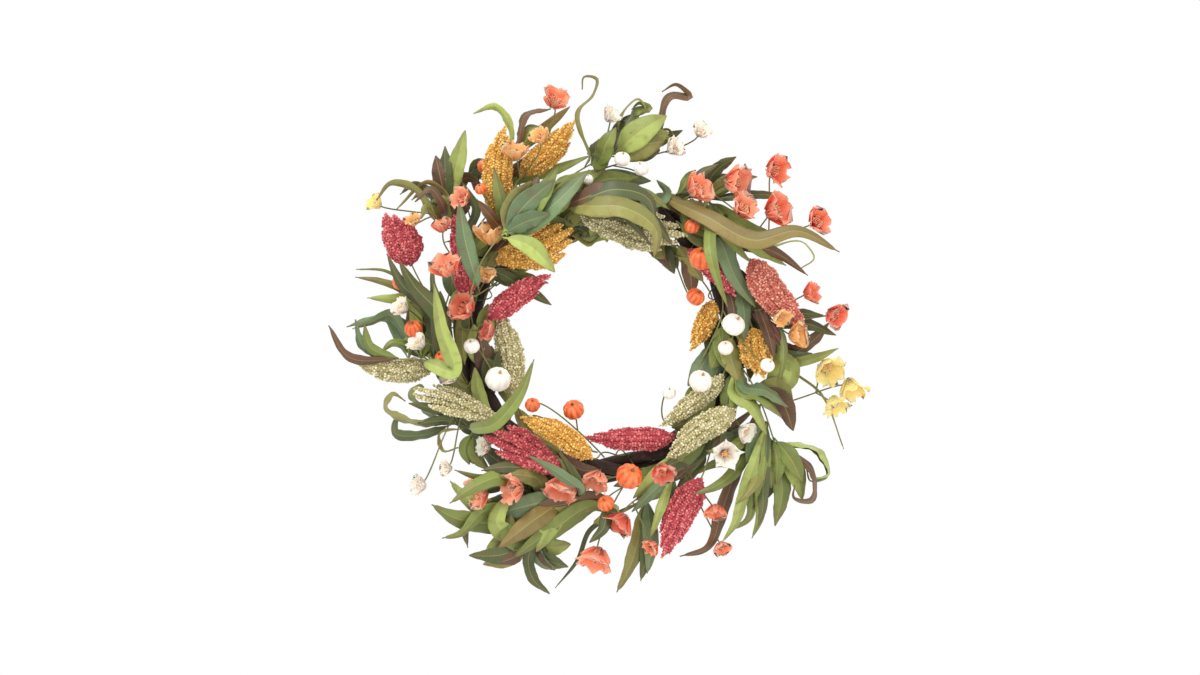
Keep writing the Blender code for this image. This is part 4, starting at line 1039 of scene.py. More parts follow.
@once
def bead_tree():
    """Scatters small seed beads over the strands of a millet head, in lighter and darker shades at random;
    the bare strands between the beads get the lowest shade, as painted shade in the gaps.
    """
    stored = {"data_type": "FLOAT", "domain": "INSTANCE"}
    return new_tree(
        "Seed beads",
        (
            ("Bead size", "NodeSocketFloat", 2.3 * MM),
            ("Bead spacing", "NodeSocketFloat", 1.7 * MM),
            ("Seed", "NodeSocketInt", SEED),
            ("Material", "NodeSocketMaterial", None),
        ),
        {
            "scatter": (
                "GeometryNodeDistributePointsOnFaces",
                {"distribute_method": "POISSON"},
                {"Density Max": 900000.0},
            ),
            "bead": ("GeometryNodeMeshIcoSphere", {}, {"Subdivisions": 1}),
            "half": ("ShaderNodeMath", {"operation": "MULTIPLY"}, {1: 0.5}),
            "size": ("FunctionNodeRandomValue", {"data_type": "FLOAT"}, {2: 0.7, 3: 1.25}),
            "turn": ("FunctionNodeRandomValue", {"data_type": "FLOAT_VECTOR"}, {1: (6.28, 6.28, 6.28)}),
            "place": ("GeometryNodeInstanceOnPoints", {}, {}),
            "shade": ("FunctionNodeRandomValue", {"data_type": "FLOAT"}, {}),
            "store": ("GeometryNodeStoreNamedAttribute", stored, {"Name": "shade"}),
            # Painted shade: the strands between the beads store shade 0, which the bead material paints its
            # darkest colour.
            "core": (
                "GeometryNodeStoreNamedAttribute",
                {**stored, "domain": "POINT"},
                {"Name": "shade", "Value": 0.0},
            ),
            "join": ("GeometryNodeJoinGeometry", {}, {}),
        },
        (
            "given.Geometry > scatter.Mesh",
            "given.Bead spacing > scatter.Distance Min",
            "given.Seed > scatter.Seed",
            "given.Bead size > half.0",
            "half.Value > bead.Radius",
            "scatter.Points > place.Points",
            "bead.Mesh > place.Instance",
            "given.Seed > size.Seed",
            "size.1 > place.Scale",
            "turn.0 > place.Rotation",
            "place.Instances > store.Geometry",
            "shade.1 > store.Value",
            "given.Geometry > core.Geometry",
            "core.Geometry > join.Geometry",
            "store.Geometry > join.Geometry",
            "join.Geometry > real.Geometry",
        ),
    )


def grown(name, mesh, tree, **values):
    """The mesh that a node tree makes of a mesh, with the tree's inputs set by label."""
    source = bpy.data.objects.new(name + "_source", mesh)
    bpy.context.scene.collection.objects.link(source)
    modifier = source.modifiers.new("grow", "NODES")
    modifier.node_group = tree
    for item in tree.interface.items_tree:
        if item.in_out == "INPUT" and item.name in values:
            modifier[item.identifier] = values[item.name]
    depsgraph = bpy.context.evaluated_depsgraph_get()
    made = bpy.data.meshes.new_from_object(source.evaluated_get(depsgraph))
    made.name = name
    bpy.data.objects.remove(source, do_unlink=True)
    return made


def line_mesh(name, lines):
    """Edges along open or closed lines. Each line is (points, radii, closed)."""
    vertices, radii, edges = [], [], []
    for points, thick, closed in lines:
        base = len(vertices)
        vertices += (np.asarray(points) + RING_CENTRE).tolist()
        radii += np.broadcast_to(thick, (len(points),)).tolist()
        edges += [(base + k, base + k + 1) for k in range(len(points) - 1)]
        if closed:
            edges.append((base + len(points) - 1, base))
    mesh = bpy.data.meshes.new(name)
    mesh.from_pydata(vertices, edges, [])
    thick = mesh.attributes.new("radius", "FLOAT", "POINT")
    thick.data.foreach_set("value", np.array(radii, np.float32))
    return mesh


def rods(name, lines, material, sides=8, bark=0.0, grain=160.0):
    mesh = line_mesh(name, lines)
    values = {"Sides": sides, "Bark depth": bark, "Bark grain": grain, "Material": material}
    return grown(name, mesh, tube_tree(), **values)


# Materials


class Finish:
    """A Principled material and short ways to add nodes to it. Patterns read the piece's own coordinates."""

    def __init__(self, name, roughness, **sockets):
        self.material = bpy.data.materials.new(name)
        self.material.use_nodes = True
        self.tree = self.material.node_tree
        self.shader = self.tree.nodes["Principled BSDF"]
        self.shader.inputs["Roughness"].default_value = roughness
        for label, value in sockets.items():
            self.shader.inputs[label.replace("_", " ")].default_value = value
        self.own = self.tree.nodes.new("ShaderNodeTexCoord").outputs["Object"]

    def node(self, kind, given, **values):
        made = self.tree.nodes.new(kind)
        for key, value in values.items():
            setattr(made, key, value)
        for key, value in given.items():
            if isinstance(value, bpy.types.NodeSocket):
                self.tree.links.new(value, made.inputs[key])
            else:
                made.inputs[key].default_value = value
        return made

    def attribute(self, name, output="Fac"):
        return self.node("ShaderNodeAttribute", {}, attribute_name=name).outputs[output]

    def math(self, operation, a, b=0.0, c=0.0):
        return self.node("ShaderNodeMath", {0: a, 1: b, 2: c}, operation=operation).outputs[0]

    def noise(self, scale, detail=3.0, distortion=0.0, vector=None):
        given = {"Scale": scale, "Detail": detail, "Distortion": distortion, "Vector": vector or self.own}
        return self.node("ShaderNodeTexNoise", given).outputs["Fac"]

    def stretched(self, x, y, z):
        given = {"Vector": self.own, "Scale": (x, y, z)}
        return self.node("ShaderNodeMapping", given).outputs["Vector"]

    def ramp(self, source, stops):
        made = self.node("ShaderNodeValToRGB", {"Fac": source})
        elements = made.color_ramp.elements
        for k, (place, colour) in enumerate(stops):
            stop = elements[k] if k < 2 else elements.new(place)
            stop.position = place
            stop.color = (*colour, 1.0) if not isinstance(colour, float) else (colour, colour, colour, 1.0)
        return made.outputs["Color"]

    def mix(self, factor, a, b, blend="MIX"):
        made = self.tree.nodes.new("ShaderNodeMix")
        made.data_type = "RGBA"
        made.blend_type = blend
        for key, value in ((0, factor), (6, a), (7, b)):
            if isinstance(value, bpy.types.NodeSocket):
                self.tree.links.new(value, made.inputs[key])
            elif key:
                made.inputs[key].default_value = (*value, 1.0)
            else:
                made.inputs[key].default_value = value
        return made.outputs[2]

    def paint(self, colour):
        self.tree.links.new(colour, self.shader.inputs["Base Color"])

    def bump(self, height, strength, distance):
        given = {"Height": height, "Strength": strength, "Distance": distance}
        made = self.node("ShaderNodeBump", given)
        self.tree.links.new(made.outputs["Normal"], self.shader.inputs["Normal"])


@once
def bark_finish():
    """Dark brown vine bark with paler ridges and fine cracks."""
    finish = Finish("vine_bark", 0.85)
    broad = finish.noise(70.0, 4.0)
    fine = finish.noise(900.0, 6.0, 1.5)
    colour = finish.ramp(broad, ((0.3, tone("2A1C17")), (0.62, tone("4B382E")), (0.8, tone("6E5A49"))))
    finish.paint(finish.mix(finish.math("MULTIPLY", fine, 0.55), colour, tone("1B120F")))
    finish.bump(finish.math("ADD", fine, broad), 0.7, 0.0012)
    return finish.material


@once
def wire_finish():
    """Dark green enamel on wire, worn paler in places."""
    finish = Finish("green_wire", 0.42, Metallic=0.4)
    worn = finish.noise(260.0, 4.0)
    finish.paint(finish.ramp(worn, ((0.35, tone("27331C")), (0.66, tone("3C4A2A")), (0.85, tone("6B6F5A")))))
    finish.bump(finish.noise(1500.0), 0.2, 0.0003)
    return finish.material


@once
def stem_finish():
    """Green paper tape wound round the stems, browner here and there."""
    finish = Finish("taped_stem", 0.75)
    patch = finish.noise(55.0, 3.0)
    colour = finish.ramp(patch, ((0.3, tone("6B6B38")), (0.55, tone("8A8A4C")), (0.8, tone("8A6440"))))
    finish.paint(finish.mix(finish.math("MULTIPLY", finish.noise(1100.0, 4.0), 0.4), colour, tone("4A4A26")))
    finish.bump(finish.noise(700.0, 5.0), 0.5, 0.0004)
    return finish.material


BEAD_COLOURS = {
    "gold": (tone("A8681A"), tone("E2A93C"), tone("F8D87C")),
    "red": (tone("8E2430"), tone("C8464F"), tone("EC8C86")),
    "pink": (tone("96402E"), tone("D8705F"), tone("F2B79A")),
    "cream": (tone("857A45"), tone("CBC08A"), tone("F1EAC6")),
}


@once
def bead_finish(colour):
    """Flocked seed beads, each in its own shade between the deep and the light one at random; the bare
    strands take the darkest end as painted shade between the beads.
    """
    deep, middle, light = BEAD_COLOURS[colour]
    finish = Finish(f"{colour}_beads", 0.8, Sheen_Weight=0.25)
    shade = finish.attribute("shade")
    patches = finish.math("MULTIPLY", finish.noise(90.0), 0.35)
    mixed = finish.math("ADD", finish.math("MULTIPLY", shade, 0.75), patches)
    # The lowest shade, on the strands between the beads, gives the darkest end of the ramp: painted shade in
    # the gaps.
    tint = finish.ramp(mixed, ((0.05, deep), (0.4, middle), (0.9, light)))
    finish.paint(finish.mix(finish.math("MULTIPLY", finish.noise(2200.0, 5.0), 0.2), tint, deep))
    finish.bump(finish.noise(3000.0, 4.0), 0.5, 0.0003)
    return finish.material


@once
def petal_finish():
    """Crinkled fabric petals: painted shade deeper at the throat, paler at the frilled rim, with fine veins.
    """
    finish = Finish("crinkled_petal", 0.7, Sheen_Weight=0.3, Subsurface_Weight=0.35, Subsurface_Scale=0.004)
    tint = finish.attribute("tint", "Color")
    along = finish.attribute("along")
    place = finish.attribute("place", "Vector")
    veins = finish.noise(1.0, 5.0, 0.3, finish.node(
        "ShaderNodeMapping", {"Vector": place, "Scale": (14.0, 1.6, 1.0)}
    ).outputs["Vector"])
    # Painted shade: the base of each petal, deep in the cup, is darkened.
    throat = finish.ramp(along, ((0.0, 0.7), (0.4, 1.0)))
    base = finish.mix(1.0, tint, throat, "MULTIPLY")
    rim = finish.math("MULTIPLY", finish.math("POWER", along, 2.0), 0.4)
    base = finish.mix(rim, base, tone("FFE0C4"))
    dark = finish.math("MULTIPLY", finish.math("SUBTRACT", veins, 0.35), 0.55)
    base = finish.mix(dark, base, finish.mix(1.0, base, tone("D08A60"), "MULTIPLY"))
    finish.paint(base)
    finish.bump(finish.math("ADD", veins, finish.noise(900.0, 4.0)), 0.6, 0.0006)
    return finish.material


@once
def pumpkin_finish():
    """Waxed foam skin: painted shade deeper in the grooves, with soft mottling and a faint shine."""
    finish = Finish("pumpkin_skin", 0.42, Coat_Weight=0.15, Coat_Roughness=0.35)
    tint = finish.attribute("tint", "Color")
    # Painted shade: the groove depth, carried in 'along', darkens the skin in the grooves.
    groove = finish.math("MULTIPLY", finish.attribute("along"), 0.75)
    base = finish.mix(groove, tint, finish.mix(1.0, tint, tone("C07A55"), "MULTIPLY"))
    patches = finish.math("MULTIPLY", finish.math("SUBTRACT", finish.noise(160.0, 4.0), 0.4), 0.8)
    base = finish.mix(patches, base, finish.mix(1.0, base, tone("FFC08A"), "SCREEN"))
    finish.paint(base)
    finish.bump(finish.noise(1200.0, 5.0), 0.25, 0.0004)
    return finish.material


@once
def leaf_finish():
    """Pressed fabric leaves: a pale midrib, slanting side veins, brown streaks, a browner tip, and painted
    light and shade on the two halves of the fold.
    """
    finish = Finish("pressed_leaf", 0.5, Sheen_Weight=0.1)
    tint = finish.attribute("tint", "Color")
    along = finish.attribute("along")
    place = finish.node("ShaderNodeSeparateXYZ", {"Vector": finish.attribute("place", "Vector")}).outputs
    across = finish.math("ABSOLUTE", place["X"])
    # Painted light and shade: the half of the blade on one side of the midrib is lightened, the other half
    # darkened.
    half = finish.math("MULTIPLY_ADD", finish.math("GREATER_THAN", place["X"], 0.0), 0.26, 0.86)
    outwards = finish.math("MULTIPLY", across, 2.4)
    slant = finish.math("SUBTRACT", finish.math("MULTIPLY", place["Y"], 900.0), outwards)
    side_veins = finish.math("POWER", finish.math("ABSOLUTE", finish.math("SINE", slant)), 9.0)
    midrib = finish.math("LESS_THAN", across, 0.055)
    streak = finish.noise(1.0, 4.0, 0.4, finish.stretched(95.0, 95.0, 95.0))
    brown = finish.ramp(streak, ((0.5, 0.0), (0.8, 0.5)))
    base = finish.mix(1.0, tint, half, "MULTIPLY")
    base = finish.mix(brown, base, tone("7A4A30"))
    tip = finish.math("MULTIPLY", finish.math("POWER", along, 6.0), 0.5)
    base = finish.mix(tip, base, tone("6B4A2A"))
    base = finish.mix(finish.math("MULTIPLY", side_veins, 0.03), base, tone("C9C98A"))
    base = finish.mix(finish.math("MULTIPLY", midrib, 0.3), base, tone("C2C07C"))
    grain = finish.math("MULTIPLY", finish.noise(1400.0, 4.0), 0.35)
    finish.paint(finish.mix(grain, base, finish.mix(1.0, base, tone("8F8F6A"), "MULTIPLY")))
    finish.bump(finish.math("ADD", side_veins, finish.noise(1400.0, 4.0)), 0.12, 0.0003)
    return finish.material


@once
def floor_finish():
    finish = Finish("pale_floor", 0.9)
    finish.paint(finish.mix(finish.math("MULTIPLY", finish.noise(6.0), 0.1), tone("F4F3F1"), tone("E9E7E4")))
    return finish.material


# Shapes of the picks


def around(axis):
    """Two unit vectors square to an axis."""
    first = unit(np.cross(axis, (0.31, 0.17, 0.93)))
    return first, np.cross(axis, first)


def normals_of(points):
    """Unit normals of a grid of points."""
    a = np.gradient(points, axis=0)
    b = np.gradient(points, axis=1)
    normal = np.cross(a, b)
    return normal / np.maximum(np.linalg.norm(normal, axis=2), 1e-12)[..., None]


LEAF_FULLNESS = 1.22  # the shown leaves are this much wider than their plain solids


def add_leaf(cloth, limb, shade, rng, fullness=LEAF_FULLNESS):
    """A thin blade folded along its midrib, with wavy edges and a point."""
    along = along_path(limb.path)
    first = max(int(np.searchsorted(along, limb.body_from)) - 2, 0)
    path, wide = limb.path[first:], limb.wide[first:]
    side, out = (axis[first:] for axis in limb.cross_axes())
    share = (along[first:] - along[first]) / (along[-1] - along[first])
    wide = wide * fullness * np.where(share > 0.97, 0.6, 1.0)
    across = np.array((-1.0, -0.8, -0.5, -0.2, 0.0, 0.2, 0.5, 0.8, 1.0))
    phase = rng.uniform(0, 6.28, 2)
    ripples = rng.uniform(2.0, 3.6)
    wave = np.sin(6.28 * ripples * share[:, None] + phase[0] + across[None] * 1.3)
    small = np.sin(6.28 * ripples * 2.7 * share[:, None] + phase[1] - across[None] * 2.0)
    edge = np.abs(across[None]) ** 2 * np.minimum(wide[:, None] * 0.16, 1.3 * MM)
    fold = LEAF_RIDGE * (0.95 - np.abs(across[None]) ** 1.2 * 0.95)
    crease = np.where(across[None] == 0, -0.25 * MM, 0.0)
    lift = fold + crease + edge * (wave + 0.4 * small)
    top = path[:, None] + side[:, None] * (across[None] * wide[:, None])[..., None]
    top = top + out[:, None] * lift[..., None]
    under = top - out[:, None] * 0.45 * MM
    rings = sheet_rings(top, under)
    front, back = LEAF_COLOURS[shade]
    drift = 1.0 + rng.uniform(-0.16, 0.16)
    colour = np.concatenate((np.tile(front, (len(across), 1)), np.tile(back, (len(across), 1)))) * drift
    place = np.empty((*rings.shape[:2], 2))
    place[..., 0] = np.concatenate((across, across[::-1]))
    place[..., 1] = (along[first:] - along[first])[:, None]
    cloth.grid(rings, True, share[:, None], colour[None], place)


PETALS = {
    # count, reach, width, frill, whether the petals end in points, then the inner ring's reach
    "coral": (4, 1.35, 0.80, 0.13, False, 0.80),
    "apricot": (4, 1.35, 0.78, 0.12, False, 0.76),
    "yellow": (4, 1.55, 0.60, 0.12, False, 0.74),
    "petal": (5, 1.25, 0.66, 0.07, False, 0.76),
    "white_star": (5, 1.2, 0.5, 0.05, True, 0.0),
}
PETAL_COLOURS = {
    "coral": tone("F5733F"),
    "apricot": tone("F6AE55"),
    "yellow": tone("F4DF83"),
    "petal": tone("F8EEDF"),
    "white_star": tone("FBF4EA"),
}
CORAL_SHADES = ("F5733F", "FF8F66", "E4502A", "F98258", "EE6233")


def add_petal(cloth, base, axis, outward, half, wide, frill, pointed, colour, rng, open_up):
    """One thin petal from the blossom's throat to its rim."""
    tangent = np.cross(axis, outward)
    u = np.linspace(-1, 1, 9)[None]
    v = np.linspace(0, 1, 8)[:, None]
    notch = 1.0 - 0.13 * np.abs(np.sin(u * 6.0 + rng.uniform(0, 3))) * v**3
    if pointed:
        spread = half * wide * np.sin(math.pi * (0.14 + 0.80 * v)) + 0.1 * MM
        notch = 1.0 - 0.28 * np.abs(u) * v**2
    else:
        spread = half * wide * np.sin(math.pi * (0.12 + 0.62 * v)) ** 0.9
    away = half * (0.10 + open_up * v**0.9) * notch
    away = away - 0.16 * half * (u * v) ** 2
    away = away + half * frill * v**2 * np.sin(u * 5.3 + rng.uniform(0, 6.28))
    height = half * 1.3 * (v**0.85 - 0.22 * open_up * v**4) * notch
    height = height + half * frill * v**2 * np.cos(u * 4.6 + rng.uniform(0, 6.28))
    top = (
        base
        + outward * away[..., None]
        + axis * height[..., None]
        + tangent * (u * spread)[..., None]
    )
    under = top - normals_of(top) * 0.35 * MM
    rings = sheet_rings(top, under)
    place = np.empty((*rings.shape[:2], 2))
    place[..., 0] = np.concatenate((u[0], u[0][::-1]))
    place[..., 1] = v
    cloth.grid(rings, True, v, np.array(colour)[None, None], place)


def add_knob(cloth, centre, axis, radius, length, colour, along=0.6):
    """A small rounded knob: a blossom's eye or a pumpkin's stub."""
    first, second = around(axis)
    turn = np.linspace(0, 2 * math.pi, 9)[:-1]
    rings = []
    for share, thick in ((0.0, 0.75), (0.3, 1.0), (0.7, 0.85), (0.95, 0.4)):
        ring = first * np.cos(turn)[:, None] + second * np.sin(turn)[:, None]
        rings.append(centre + axis * length * share + ring * radius * thick)
    cloth.grid(np.array(rings), True, along, np.array(colour)[None, None])


def add_blossom(cloth, limb, size, colour, rng):
    """An open blossom of two rings of petals round an eye, on the end of its stem."""
    kind = colour
    half = size / 2
    tip = limb.path[-1]
    middle = tip - unit(tip - limb.path[-4]) * 0.65 * half
    outwards = unit(np.array((middle[0], 0.0, middle[2])))
    onwards = np.array((outwards[2], 0.0, -outwards[0]))
    if kind == "white_star":
        axis = unit(FRONT + outwards * 0.2)
    else:
        aim = outwards * rng.uniform(0.4, 1.0) + onwards * rng.uniform(-0.2, 0.9)
        axis = unit(aim + FRONT * rng.uniform(0.35, 0.8))
    base = middle - axis * 0.65 * half
    first, second = around(axis)
    count, reach, wide, frill, pointed, inner = PETALS[kind]
    shade = np.array(PETAL_COLOURS[kind])
    if kind == "coral":
        shade = np.array(tone(CORAL_SHADES[rng.integers(len(CORAL_SHADES))]))
    for ring, scale in enumerate((reach, inner)):
        for k in range(count if scale else 0):
            angle = 2 * math.pi * (k + 0.5 * ring + rng.uniform(-0.1, 0.1)) / count
            outward = first * math.cos(angle) + second * math.sin(angle)
            own = shade * rng.uniform(0.9, 1.1)
            open_up = (0.88, 0.5)[ring] * rng.uniform(0.85, 1.1)
            add_petal(cloth, base, axis, outward, half * scale, wide, frill, pointed, own, rng, open_up)
    eye = tone("E8952F") if kind in ("petal", "white_star", "yellow") else tone("C9471F")
    add_knob(cloth, base + axis * 0.15 * half, axis, 0.2 * half, 0.55 * half, eye)
    add_knob(cloth, base - axis * 0.12 * half, axis, 0.2 * half, 0.4 * half, tone("6E7A35"))
    for k in range(6 if size > 20 * MM else 0):
        angle = 2 * math.pi * (k + rng.uniform(-0.3, 0.3)) / 6
        lean = unit(axis + (first * math.cos(angle) + second * math.sin(angle)) * 0.35)
        add_knob(cloth, base + lean * 0.3 * half, lean, 0.035 * half, 0.75 * half, tone("F0C060"), 1.0)


def add_pumpkin(cloth, limb, size, colour, rng):
    """A flattened ribbed ball with a dimple at each end and a stub."""
    half = size / 2
    tip = limb.path[-1]
    ahead = unit(tip - limb.path[-3])
    centre = tip - ahead * 0.85 * half
    lean = unit(np.array((rng.uniform(-0.6, 0.6), 0.0, 1.0)))
    axis = unit(ahead * 0.55 + lean * 0.8)
    first, second = around(axis)
    lobes = 8 if size < 20 * MM else 10
    theta = np.linspace(0.035, 0.965, 19)[:, None] * math.pi
    phi = np.linspace(0, 2 * math.pi, lobes * 5 + 1)[None, :-1]
    groove = np.abs(np.cos(lobes * phi / 2)) ** 5 * np.sin(theta) ** 0.4
    depth = 0.12 if colour == "orange" else 0.06
    wide = 0.97 * half * np.sin(theta) ** 0.82 * (1 - depth * groove)
    tall = 0.84 * half * np.cos(theta)
    tall = tall * (1 - 0.28 * np.exp(-((np.minimum(theta, math.pi - theta) / 0.42) ** 2)))
    points = (
        centre
        + axis * tall[..., None]
        + first * (wide * np.cos(phi))[..., None]
        + second * (wide * np.sin(phi))[..., None]
    )
    shade = np.array(tone("F1692A") if colour == "orange" else tone("FBF5EA")) * rng.uniform(0.93, 1.05)
    # The groove depth goes into 'along', where the skin material darkens the grooves as painted shade.
    cloth.grid(points, True, groove * (1.0 if colour == "orange" else 0.22), shade[None, None])
    stub = tone("6B5A2E") if colour == "orange" else tone("B9A981")
    add_knob(cloth, centre + axis * 0.5 * half, axis, 0.13 * half, 0.42 * half, stub)


HEAD_FULLNESS = 1.15  # beads stand this much prouder than the plain solid
LUMP_SIZE = 4.2 * MM
SLIM_HEADS = ("cream_millet_4", "red_millet_4")  # pumpkins swing close past these
BUNCH = (
    (-0.95, 0.0, 0.78),
    (-0.50, 0.45, 0.93),
    (0.02, 0.6, 1.0),
    (0.54, 0.4, 0.9),
    (0.98, 0.0, 0.74),
    (-0.3, -0.4, 0.95),
    (0.4, -0.4, 0.85),
)  # across, to the front, reach


def head_strands(limb, width, name):
    """The strands of a millet head as (points, radii): side by side at the widest, close at both ends."""
    along = along_path(limb.path)
    length = along[-1] - limb.body_from
    steps = limb.body_from + length * np.linspace(0.0, 1.0, 34)
    line = np.column_stack([np.interp(steps, along, limb.path[:, axis]) for axis in range(3)])
    _, across, out = frames(line)
    half = width / 2 * (1.0 if name in SLIM_HEADS else HEAD_FULLNESS)
    fan = name in FAN_STRANDS
    count = FAN_STRANDS.get(name, len(BUNCH))
    deep = min(half, 12 * MM)
    strands = []
    for k in range(count):
        if fan:
            offset, ahead = 2.0 * k / (count - 1) - 1.0, 0.25 * (-1) ** k
            thick = 0.46 * half / math.sqrt(count)
            reach = 1.0 - 0.22 * abs(offset) ** 1.5
        else:
            offset, ahead, reach = BUNCH[k]
            thick = 0.2 * half
        share = np.linspace(0.0, reach, 34)
        spread = np.clip(share / (0.55 if fan else 0.25), 0, 1) ** 0.8
        spread = spread * (1.0 if fan else 1.0 - 0.35 * share**3)
        radius = thick * np.clip(share / 0.12, 0.2, 1) ** 0.6
        radius = radius * np.clip((reach - share) / 0.2, 0.05, 1) ** 0.5
        cells = [np.interp(share, np.linspace(0, 1, 34), line[:, axis]) for axis in range(3)]
        sides = [np.interp(share, np.linspace(0, 1, 34), across[:, axis]) for axis in range(3)]
        outs = [np.interp(share, np.linspace(0, 1, 34), out[:, axis]) for axis in range(3)]
        points = np.column_stack(cells)
        points = points + np.column_stack(sides) * (offset * spread * (half - thick))[:, None]
        points = points + np.column_stack(outs) * (ahead * spread * (deep - min(thick, deep)))[:, None]
        strands.append((points, radius))
    return strands


def strand_mesh(name, strands):
    """Lumpy rods under the beads of a head."""
    cloth = Cloth()
    turn = np.linspace(0, 2 * math.pi, 13)[:-1]
    for points, radii in strands:
        _, across, out = frames(points)
        ring = across[:, None] * np.cos(turn)[None, :, None] + out[:, None] * np.sin(turn)[None, :, None]
        spots = (points[:, None] + ring * 6 * MM) / LUMP_SIZE
        lumps = np.array([[noise.noise(Vector(spot)) for spot in row] for row in spots])
        skin = points[:, None] + ring * (radii[:, None] * (1.0 + 0.75 * lumps))[..., None]
        cloth.grid(skin, True, 0.0, np.zeros((1, 1, 3)))
    return cloth.mesh(name)


# What a user would change


class WreathSettings(bpy.types.PropertyGroup):
    bead_size: bpy.props.FloatProperty(
        name="Bead size", description="Diameter of one seed bead", default=3.1 * MM, unit="LENGTH"
    )
    bead_spacing: bpy.props.FloatProperty(
        name="Bead spacing", description="Least between two beads", default=2.45 * MM, unit="LENGTH"
    )
    bark_depth: bpy.props.FloatProperty(
        name="Bark depth", description="How far bark stands up", default=1.6 * MM, unit="LENGTH"
    )
    companions: bpy.props.IntProperty(
        name="Companion leaves", description="Leaves beside each larger leaf", default=2, min=0
    )
    undergrowth: bpy.props.IntProperty(
        name="Undergrowth", description="Leaves of a spray that lie along the canes", default=12, min=0
    )
    key_power: bpy.props.FloatProperty(
        name="Key light", description="Power of the upper left lamp", default=34.0, unit="POWER"
    )
    fill_power: bpy.props.FloatProperty(
        name="Fill light", description="Power of the right lamp", default=14.0, unit="POWER"
    )
    room_light: bpy.props.FloatProperty(
        name="Room light", description="Strength of the white light all round", default=1.0, min=0.0
    )


def settings():
    return bpy.context.scene.wreath


class WREATH_OT_canes(bpy.types.Operator):
    """Makes the three twisted vine canes, pressed flat at the back"""

    bl_idname = "wreath.canes"
    bl_label = "Vine canes"

    def execute(self, context):
        count = 36 * CANE_TURNS
        flat = RING_CENTRE[1] + BUNDLE_RADIUS - FLAT_DEPTH
        for which in range(CANE_COUNT):
            name = f"vine_cane_{which + 1}"
            points = [cane_point(k / count, which) for k in range(count)]
            swell = [1.0 - 0.1 * abs(noise.noise(Vector(p / (24 * MM)))) for p in points]
            line = (points, np.array(swell) * CANE_RADIUS, True)
            mesh = rods(name + "_bark", [line], bark_finish(), 20, settings().bark_depth, 210.0)
            for vertex in mesh.vertices:
                vertex.co.y = min(vertex.co.y, flat)
            show(name + "_bark", mesh, None, name)
        return {"FINISHED"}


class WREATH_OT_wire(bpy.types.Operator):
    """Makes the wire that binds the stems to the canes"""

    bl_idname = "wreath.wire"
    bl_label = "Binding wire"

    def execute(self, context):
        count = 40 * WIRE_TURNS
        points = [wire_point(k / count, True) for k in range(count)]
        mesh = rods("binding_wire_round", [(points, WIRE_RADIUS, True)], wire_finish(), 8)
        show("binding_wire_round", mesh, None, "binding_wire")
        return {"FINISHED"}


class WREATH_OT_hanger(bpy.types.Operator):
    """Makes the wire loop that hangs the wreath and the staple that it swings in"""

    bl_idname = "wreath.hanger"
    bl_label = "Hanger"

    def execute(self, context):
        eye = WIND_RADIUS + WIRE_RADIUS + GAP + STAPLE_INSIDE / 2
        inner = STAPLE_INSIDE / 2 + LOOP_WIRE
        legs = BUNDLE_RADIUS - FLAT_DEPTH + GAP
        half = STAPLE_HALF_WIDTH
        bend = 1.2 * MM
        path = [(-half, legs), (-half, eye + inner - bend), (-half + bend, eye + inner)]
        path += [(-x, y) for x, y in reversed(path)]
        points = [(x, y, RING_RADIUS) for x, y in path]
        mesh = rods("hanger_staple_wire", [(points, LOOP_WIRE, False)], wire_finish(), 10)
        show("hanger_staple_wire", mesh, None, "hanger_staple")
        turn = np.linspace(0, 2 * math.pi, 73)[:-1]
        ring = np.column_stack((np.cos(turn), np.zeros(72), np.sin(turn))) * LOOP_RADIUS
        loop = ring + np.array((0.0, eye, RING_RADIUS + LOOP_RADIUS))
        mesh = rods("hanger_loop_wire", [(loop, LOOP_WIRE * 0.97, True)], wire_finish(), 10)
        show("hanger_loop_wire", mesh, None, "hanger_loop")
        return {"FINISHED"}


def show_stems(name, lines):
    """The taped wire stems of a pick."""
    mesh = rods(name + "_stems", lines, stem_finish(), 7)
    show(name + "_stems", mesh, None, name, "wire")


def stem_line(limb, spare, thick=STEM_RADIUS * 0.8):
    """The bare part of a limb, up to a little inside its body."""
    along = along_path(limb.path)
    stop = max(int(np.searchsorted(along, limb.body_from + spare)), 3)
    return (limb.path[:stop], thick, False)


class WREATH_OT_millet(bpy.types.Operator):
    """Makes the millet heads: strands thick with seed beads"""

    bl_idname = "wreath.millet"
    bl_label = "Millet heads"

    def execute(self, context):
        for number, entry in enumerate(HEADS):
            name = entry[0]
            ((_, colour, width, limb),) = limbs_of(entry)
            mesh = grown(
                name + "_beads",
                strand_mesh(name + "_strands", head_strands(limb, width, name)),
                bead_tree(),
                **{
                    "Bead size": settings().bead_size,
                    "Bead spacing": settings().bead_spacing,
                    "Seed": SEED + number,
                    "Material": bead_finish("pink" if name.startswith("pink") else colour),
                },
            )
            show(name + "_beads", mesh, None, name)
            show_stems(name, [stem_line(limb, 12 * MM)])
        return {"FINISHED"}


